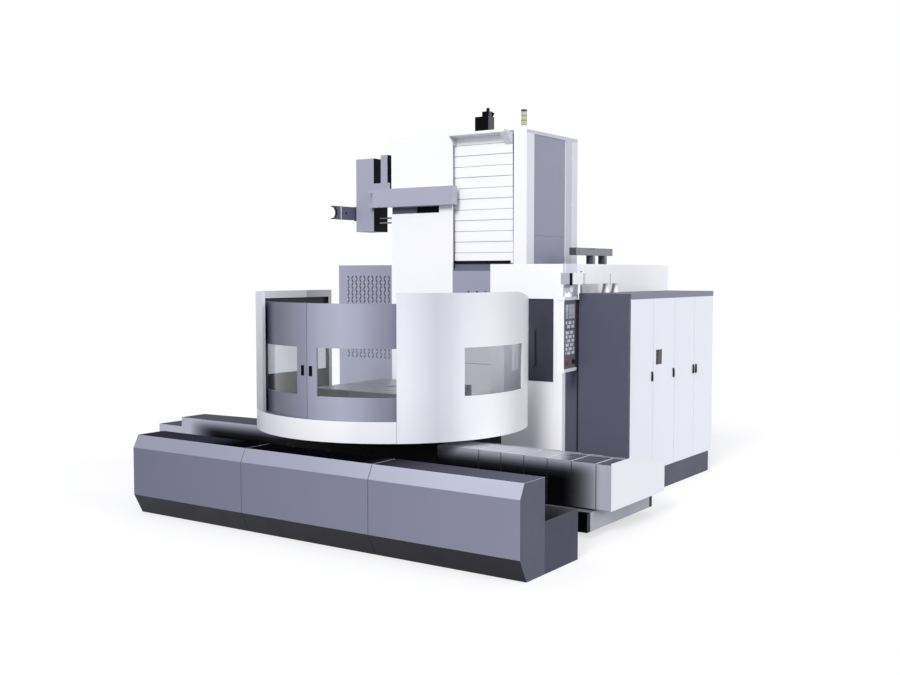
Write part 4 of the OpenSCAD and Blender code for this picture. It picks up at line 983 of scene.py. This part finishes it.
class MILL_OT_enclosure(bpy.types.Operator):
    """Dresses the round enclosure, its doors, panes, seals and hand cups"""

    bl_idname = "mill.enclosure"
    bl_label = "Round enclosure"

    def execute(self, context):
        for name in ("enclosure_base", "right_shell"):
            dress(name, 0, "shell", rolled=True)
        dress("side_frame", 0, "side_frame", rolled=True)
        finish_node("fixed_windows", "tinted_glass")
        for name in ("left_door", "right_door"):
            dress(name, 0, "doors", rolled=True)
            finish_node(name + "_pane")
            self.hand_cup(name)
        self.seals()
        return {"FINISHED"}

    def hand_cup(self, name):
        """A black moulded cup in the door's hand pocket."""
        points = corners(name)
        z0, z1 = levels(points)[2:4]
        radii, angles = polar(points[np.isin(points[:, 2].round(4), (z0, z1))])
        r0, r1 = radii.min(), radii.max() + 1 * MM
        a0, a1 = angles.min(), angles.max()
        wall, wall_turn, floor = 5 * MM, 0.22, 3 * MM
        bars_of_cup = [(r0 + floor, a0, a1, z0, z1)]
        bars_of_cup += [(r1, a0, a1, z, z + wall) for z in (z0, z1 - wall)]
        bars_of_cup += [(r1, a, a + wall_turn, z0 + wall, z1 - wall) for a in (a0, a1 - wall_turn)]
        bm = bmesh.new()
        for bar in bars_of_cup:
            add_arc(bm, r0, *bar, step_deg=0.4)
        add_piece(name + "_cup", bm, name, "rubber")

    def seals(self):
        """The brush strip behind the jamb and the seal on the right door's leading edge."""
        for door, inner, outer, before, past, step_deg, piece in (
                ("left_door", -24, 2, -8, -0.1, 1.5, ("jamb_brush", "table_saddle", "rubber")),
                ("right_door", -20, 0.6, -0.1, 0.22, 0.2, ("door_edge_seal", "right_door", "seam"))):
            low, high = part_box(door)
            radii, angles = polar(corners(door))
            rim, edge = radii.max(), angles.min()
            bm = bmesh.new()
            add_arc(bm, rim + inner * MM, rim + outer * MM, edge + before, edge + past, low.z, high.z,
                    step_deg)
            name, body, kind = piece
            add_piece(name, bm, body, kind)


class MILL_OT_column(bpy.types.Operator):
    """Dresses the column, its cladding, slat covers, roof and the tool tower"""

    bl_idname = "mill.column"
    bl_label = "Column"

    def execute(self, context):
        finish_node("column")
        dress("column_cladding", edge_mm(), "cladding")
        dress("roof_and_canopy", edge_mm(), "roof")
        dress("tool_tower", edge_mm())
        finish_node("column_side_panels", "panel")
        slats = [f"slat_cover_{i}" for i in range(1, 5)]
        for name in slats + ["fixed_slat_covers", "lower_slat_cover", "headstock_slat_covers"]:
            finish_node(name)
            self.slat_seams(name, context.scene.mill_fittings.seam_width)
        self.slot_plate()
        self.side_seams()
        self.cladding_screws()
        self.rear_cover()
        self.motor()
        dress("beacon_base", 1)
        dress("beacon_lens", 1)
        return {"FINISHED"}

    def slat_seams(self, name, width):
        """Dark seams in a panel's folds and along its lower edge: the folds are real, and their dark is
        painted shadow.
        """
        points = corners(name)
        heights = levels(points)
        middle, half = (points[:, 0].min() + points[:, 0].max()) / 2, np.ptp(points[:, 0]) / 2
        folds = [(low, (low + high) / 2) for low, high in zip(heights, heights[1:])
                 if 1 * MM < high - low < 8 * MM]
        inner = {"headstock_slat_covers": 2.3, "fixed_slat_covers": 3.0}.get(name, 0.0)
        foot = next(z for z in heights if z > inner)
        places = []
        for low, z in folds + [(foot, foot + width / 2)]:
            face = points[np.abs(points[:, 2] - low) < 1e-4][:, 1].min()
            places.append(((middle, face + 0.3 * MM, z), FRONT))
        bars(name + "_seams", places, (2 * half - 2 * MM, width, 1 * MM), body_of_node(name), "seam")

    def slot_plate(self):
        """The grey cover plate in the left part of the tower's slot, and a black block beside it as painted
        shade.
        """
        low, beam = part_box("tool_tower")[0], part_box("changer_beam")[0]
        z0, z1 = [z for z in levels(corners("tool_tower")) if z < beam.z][-2:]
        z0, z1 = z0 + 1 * MM, z1 - 1 * MM
        slot_right, shade_right = -0.541, -0.585
        middle = (low.x + slot_right) / 2
        add_block("slot_plate", (low.x + 2 * MM, low.y + 14 * MM, z0), (middle, low.y + 38 * MM, z1), 2,
                  "column", "slate_enamel")
        add_block("slot_shade", (middle + 2 * MM, low.y + 34 * MM, z0), (shade_right, low.y + 39 * MM, z1), 1,
                  "column", "rubber")

    def side_seams(self):
        """Thin seams between the side panel's three sheets."""
        low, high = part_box("column_side_panels")
        sheet_ends = (1.62, 2.78)
        places = [((high.x + 0.3 * MM, (low.y + high.y) / 2, z), RIGHT) for z in sheet_ends]
        bars("side_panel_seams", places, (4 * MM, high.y - low.y - 4 * MM, 0.8 * MM), "column", "seam")

    def cladding_screws(self):
        """Screws down both edges of the right cladding."""
        low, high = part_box("column_cladding")
        places = []
        for y in (low.y + 95 * MM, high.y - 150 * MM):
            places += row((high.x, y, low.z + 0.3), (high.x, y, high.z - 0.2), RIGHT, pitch=0.55)
        screws("cladding_screws", places, "column", "white_enamel")

    def rear_cover(self):
        """Louvred service covers on the column's back, between the cladding strips."""
        low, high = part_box("column")
        half, tall, foot, pitch = 0.46, 0.98, 0.35, 1.02
        first_louvre, louvre_pitch, louvres = 0.3, 0.04, 11
        bm = bmesh.new()
        places = []
        for k in range(3):
            z0 = low.z + foot + k * pitch
            add_slab(bm, (-half, high.y, z0), (half, high.y + 12 * MM, z0 + tall), 3)
            if k != 1:
                places += [((0, high.y + 16 * MM, z0 + first_louvre + i * louvre_pitch), REAR)
                           for i in range(louvres)]
        add_piece("rear_service_covers", bm, "column", "panel")
        bars("rear_louvres", places, (0.6, 0.018, 10 * MM), "column", "slate_enamel")

    def motor(self):
        """The drive motor and the cooling fins on its left."""
        dress("y_drive_motor", 2.5, "motor")
        low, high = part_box("y_drive_motor")
        middle, first, pitch = (low.y + high.y) / 2, 0.02, 0.018
        fins = [((low.x - 1 * MM, middle, low.z + first + i * pitch), LEFT) for i in range(9)]
        bars("motor_fins", fins, (0.005, 0.11, 12 * MM), "column", "black_enamel")


class MILL_OT_headstock(bpy.types.Operator):
    """Dresses the headstock, the spindle and the boring bar"""

    bl_idname = "mill.headstock"
    bl_label = "Headstock"

    def execute(self, context):
        for name in ("headstock", "spindle", "boring_bar"):
            dress(name, 1.5)
        low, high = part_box("headstock_slat_covers")
        head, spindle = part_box("headstock"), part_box("spindle")
        slats = corners("headstock_slat_covers")
        pack = levels(slats, 1)[0]
        bottom = next(z for z in levels(slats) if z > head[0].z + 0.5)
        # A black rubber wiper under the slats, as deep as the dark gap there, which also stands for the gap's
        # painted shadow.
        add_block("slat_wiper_and_painted_shadow", (low.x + 0.01, pack, bottom),
                  (high.x - 0.03, pack + 14 * MM, bottom + 32 * MM), 2, "headstock", "rubber")
        centre, reach = (spindle[0].z + spindle[1].z) / 2, 0.158
        ring = [((reach * math.cos(a), head[0].y, centre + reach * math.sin(a)), FRONT)
                for a in np.radians(np.arange(22.5, 360, 45))]
        screws("nose_ring_screws", ring, "headstock", "zinc", radius_mm=9)
        half, tall, key_x = 0.011, 0.012, 0.09
        bm = bmesh.new()
        for x in (-key_x, key_x):
            add_slab(bm, (x - half, spindle[0].y - 9 * MM, centre - tall),
                     (x + half, spindle[0].y + 4 * MM, centre + tall), 2)
        add_piece("drive_keys", bm, "spindle", "ground_steel")
        return {"FINISHED"}


class MILL_OT_changer(bpy.types.Operator):
    """Dresses the tool changer's beam, housing and gripper"""

    bl_idname = "mill.changer"
    bl_label = "Tool changer"

    def execute(self, context):
        dress("changer_beam", edge_mm(), "beam")
        dress("changer_housing", edge_mm(), "housing")
        dress("gripper_arm", 1.5)
        low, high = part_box("gripper_arm")
        front, rear = 1.377, 1.393
        add_block("gripper_strip", (high.x - 2 * MM, front, low.z + 16 * MM),
                  (high.x + 1.5 * MM, rear, high.z - 16 * MM), 0.8, "gripper", "white_key")
        return {"FINISHED"}


class MILL_OT_fences(bpy.types.Operator):
    """Dresses the perforated guard, the operator wall, the side fence and the hose bridge"""

    bl_idname = "mill.fences"
    bl_label = "Fences"

    def execute(self, context):
        finish_node("perforated_guard", "perforated")
        dress("operator_wall", 2, "wall")
        dress("side_fence", 2, "fence")
        dress("hatch", 1.5)
        dress("service_bridge", 2, "bridge")
        return {"FINISHED"}


class MILL_OT_pendant(bpy.types.Operator):
    """Dresses the boom and the pendant, with its screen, keys and edge strip"""

    bl_idname = "mill.pendant"
    bl_label = "Boom and pendant"

    def execute(self, context):
        dress("boom_arm", 1.5, "boom")
        for name in ("pendant", "e_stop_button", "override_knob"):
            dress(name, 1)
        neck, way = joint("pendant_swivel")["pos_m"], Vector(pendant_way())
        turn = Matrix.Translation((neck[0], neck[1], 0)) @ Matrix.Rotation(math.atan2(way.y, way.x), 4, "Z")
        low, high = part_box("pendant")
        face, top, half = 22 * MM, high.z - 36 * MM, 0.165
        screen_foot, screen_top, screen_half = top - 0.223, top - 0.077, 0.128
        add_block("pendant_screen", (face - 5 * MM, -screen_half, screen_foot),
                  (face - 2 * MM, screen_half, screen_top), 0.5, "pendant", "screen", turn)
        add_block("pendant_edge", (face - 4 * MM, half - 8 * MM, low.z + 34 * MM),
                  (face + 3 * MM, half + 14 * MM, top - 34 * MM), 1, "pendant", "strip",
                  turn)
        pitch, first, first_y = 42 * MM, low.z + 0.195, -0.1085
        panel_top, on_panel, on_housing = low.z + 0.425, 4.5 * MM, 1.2 * MM
        middle = (screen_foot + panel_top) / 2
        rows = [(on_panel, first + pitch * j) for j in range(6)]
        rows += [(on_housing, middle + side * pitch / 2) for side in (-1, 1)]
        caps = {"white_key": [], "grey_key": []}
        for j, (out, z) in enumerate(rows):
            for i in range(6):
                place = turn @ Vector((face + out, first_y + pitch * i, z))
                caps["grey_key" if (i + 2 * j) % 3 == 0 else "white_key"].append((place, way))
        for kind, places in caps.items():
            bars("pendant_" + kind, places, (32 * MM, 29 * MM, 3 * MM), "pendant", kind)
        self.boom_stripes()
        return {"FINISHED"}

    def boom_stripes(self):
        """The joint box's dark edge strip and its rear seams, and the seam in the boom."""
        low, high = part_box("boom_arm")
        z0 = next(z for z in levels(corners("boom_arm")) if z > high.z - 0.15)
        z1 = high.z - 5 * MM
        strip_left, strip_right = 1.684, 1.716
        add_block("boom_edge_strip", (strip_left, low.y - 1 * MM, z0 + 2 * MM),
                  (strip_right, low.y + 6 * MM, z1 - 2 * MM), 1, "root", "rubber")
        middle = (z0 + z1) / 2
        box_seams, arm_seam = (0.999, 1.023), 1.623
        seams = [((high.x + 0.2 * MM, y, middle), RIGHT) for y in box_seams]
        seams.append(((high.x - 3.6 * MM, arm_seam, middle), RIGHT))
        bars("boom_seams", seams, (z1 - z0 - 8 * MM, 8 * MM, 1.4 * MM), "root", "grey_key")


class MILL_OT_cabinet(bpy.types.Operator):
    """Dresses the electrical cabinet, its doors, latches and louvres"""

    bl_idname = "mill.cabinet"
    bl_label = "Electrical cabinet"

    def execute(self, context):
        dress("cabinet", 2, "cabinet")
        for k in range(1, 5):
            dress(f"cabinet_door_{k}", 1.5)
            self.latch(f"cabinet_door_{k}")
        self.port("cabinet_door_2")
        # A dark strip at the cabinet's left edge, a painted shadow in the gap beside the fence.
        middle_z, tall = 1.26, 1.6
        seam = (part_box("side_fence")[1].x + 11 * MM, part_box("cabinet")[0].y + 0.3 * MM, middle_z)
        bars("cabinet_gap_painted_shadow", [(seam, FRONT)], (18 * MM, tall, 1.6 * MM), "root", "cover_seam")
        self.louvres()
        return {"FINISHED"}

    def latch(self, name):
        """A black swing latch over the door's lock seat."""
        points = corners(name)
        edge = points[:, 0].max()
        seat = points[points[:, 0] > edge - 1e-4]
        low, high = seat.min(0), seat.max(0)
        bm = bmesh.new()
        add_slab(bm, (edge - 13 * MM, low[1] - 1 * MM, low[2] - 2 * MM),
                 (edge + 1 * MM, high[1] + 1 * MM, high[2] + 2 * MM), 3)
        add_slab(bm, (edge - 1 * MM, low[1] + 7 * MM, low[2] + 8 * MM),
                 (edge + 6 * MM, high[1] - 7 * MM, high[2] - 26 * MM), 3)
        add_piece(name + "_latch", bm, name, "black_plastic")

    def port(self, name):
        """Dark glass in the door's inspection port."""
        points = corners(name)
        floor = levels(points, 0)[1]
        seat = points[np.abs(points[:, 0] - floor) < 1e-4]
        low, high = seat.min(0) + 2 * MM, seat.max(0) - 2 * MM
        add_block(name + "_port", (floor - 2 * MM, low[1], low[2]), (floor + 9 * MM, high[1], high[2]), 2,
                  name, "port")

    def louvres(self):
        """Ventilation louvres in the cabinet's back."""
        low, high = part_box("cabinet")
        back = levels(corners("cabinet"), 0)[1]
        inset, pitch, feet = 0.45, 0.03, (0.55, 1.75)
        places = [((back - 2 * MM, y, z + i * pitch), LEFT)
                  for y in (low.y + inset, high.y - inset) for z in feet for i in range(10)]
        bars("cabinet_louvres", places, (0.010, 0.34, 8 * MM), "root", "slate_enamel")


class MILL_OT_stage(bpy.types.Operator):
    """Makes the floor, the world, the lamps and the camera"""

    bl_idname = "mill.stage"
    bl_label = "Stage"

    def execute(self, context):
        scene = context.scene
        scene.view_settings.view_transform = "Standard"
        self.floor(scene)
        self.world(scene)
        self.lamp(scene, "key_lamp", (-78, 30), 0.68, 20)
        self.lamp(scene, "side_lamp", (0, 22), 0.29, 30)
        self.camera(scene)
        return {"FINISHED"}

    def seen(self, tree):
        """1 for rays that should find the pale backdrop: camera, glossy and transmission."""
        path = node(tree, "ShaderNodeLightPath").outputs
        first = node(tree, "ShaderNodeMath", {0: path["Is Camera Ray"], 1: path["Is Glossy Ray"]},
                     operation="MAXIMUM").outputs[0]
        return node(tree, "ShaderNodeMath", {0: first, 1: path["Is Transmission Ray"]},
                    operation="MAXIMUM").outputs[0]

    def floor(self, scene):
        """A pale floor. Where it is seen, much of its white is its own, so that shadows stay light."""
        reach = 60.0
        square = [(-reach, -reach, 0), (reach, -reach, 0), (reach, reach, 0), (-reach, reach, 0)]
        mesh = bpy.data.meshes.new("floor")
        mesh.from_pydata(square, [], [(0, 1, 2, 3)])
        s = new_surface("pale_floor_paint", roughness=0.9, specular_ior_level=0.0,
                        emission_color=(1, 1, 1, 1))
        seen = self.seen(s.tree)
        mesh.materials.append(finish(s, emission_strength=ramp(s, seen, (0, 0.0), (1, 0.6)),
                                     base_color=layered(s, "#B4B4B8", (seen, (0.42, 0.42, 0.42, 1)))))
        made = bpy.data.objects.new("floor", mesh)
        scene.collection.objects.link(made)

    def world(self, scene):
        """Even light from a faintly blue sky, with a white backdrop where it is seen."""
        world = bpy.data.worlds.new("studio")
        scene.world = world
        world.use_nodes = True
        tree = world.node_tree
        tree.nodes.clear()
        light = node(tree, "ShaderNodeBackground", {"Color": "#F8F9FF", "Strength": 0.6})
        shown = node(tree, "ShaderNodeBackground", {"Color": (1, 1, 1, 1), "Strength": 1.0})
        mixed = node(tree, "ShaderNodeMixShader", {0: self.seen(tree), 1: light.outputs[0],
                                                   2: shown.outputs[0]})
        node(tree, "ShaderNodeOutputWorld", {0: mixed.outputs[0]})

    def lamp(self, scene, name, direction, level, soft_deg):
        """A far lamp. Its level is the brightness that it gives a white face turned to it."""
        data = bpy.data.lights.new(name, "SUN")
        data.energy = level * math.pi
        data.angle = math.radians(soft_deg)
        made = bpy.data.objects.new(name, data)
        azimuth, height = (math.radians(a) for a in direction)
        back = Vector((math.cos(azimuth) * math.cos(height), math.sin(azimuth) * math.cos(height),
                       math.sin(height)))
        made.rotation_euler = back.to_track_quat("Z", "Y").to_euler()
        made.location = back * 12
        scene.collection.objects.link(made)

    def camera(self, scene):
        """The camera, at eye height off the front right corner."""
        data = bpy.data.cameras.new("camera")
        data.sensor_width = 36.0
        data.lens = 43.95
        made = bpy.data.objects.new("camera", data)
        made.location = (7.0735, -9.1885, 2.35)
        aim = Vector((-0.567, 0.8215, -0.059))
        made.rotation_euler = aim.to_track_quat("-Z", "Y").to_euler()
        scene.collection.objects.link(made)
        scene.camera = made


OPERATORS = (MILL_OT_guard, MILL_OT_beds, MILL_OT_covers, MILL_OT_table, MILL_OT_enclosure, MILL_OT_column,
             MILL_OT_headstock, MILL_OT_changer, MILL_OT_fences, MILL_OT_pendant, MILL_OT_cabinet,
             MILL_OT_stage)


class MILL_PT_panel(bpy.types.Panel):
    """Lists the steps that dress the machine."""

    bl_idname = "MILL_PT_panel"
    bl_label = "Boring Mill"
    bl_space_type = "VIEW_3D"
    bl_region_type = "UI"
    bl_category = "Boring Mill"

    def draw(self, context):
        for settings in (context.scene.mill_fittings, context.scene.mill_colours):
            for name in type(settings).__annotations__:
                self.layout.prop(settings, name)
        for operator in OPERATORS:
            self.layout.operator(operator.bl_idname)


CLASSES = (MillFittings, MillColours, *OPERATORS, MILL_PT_panel)


def register():
    """Registers the classes and the settings on the scene."""
    for cls in CLASSES:
        bpy.utils.register_class(cls)
    bpy.types.Scene.mill_fittings = bpy.props.PointerProperty(type=MillFittings)
    bpy.types.Scene.mill_colours = bpy.props.PointerProperty(type=MillColours)


def unregister():
    """Takes the settings and the classes away again."""
    del bpy.types.Scene.mill_fittings, bpy.types.Scene.mill_colours
    for cls in reversed(CLASSES):
        bpy.utils.unregister_class(cls)


def main():
    """Registers the classes and the settings, and runs every step in order."""
    register()
    for operator in OPERATORS:
        group, name = operator.bl_idname.split(".")
        getattr(getattr(bpy.ops, group), name)()


if __name__ == "__main__":
    main()
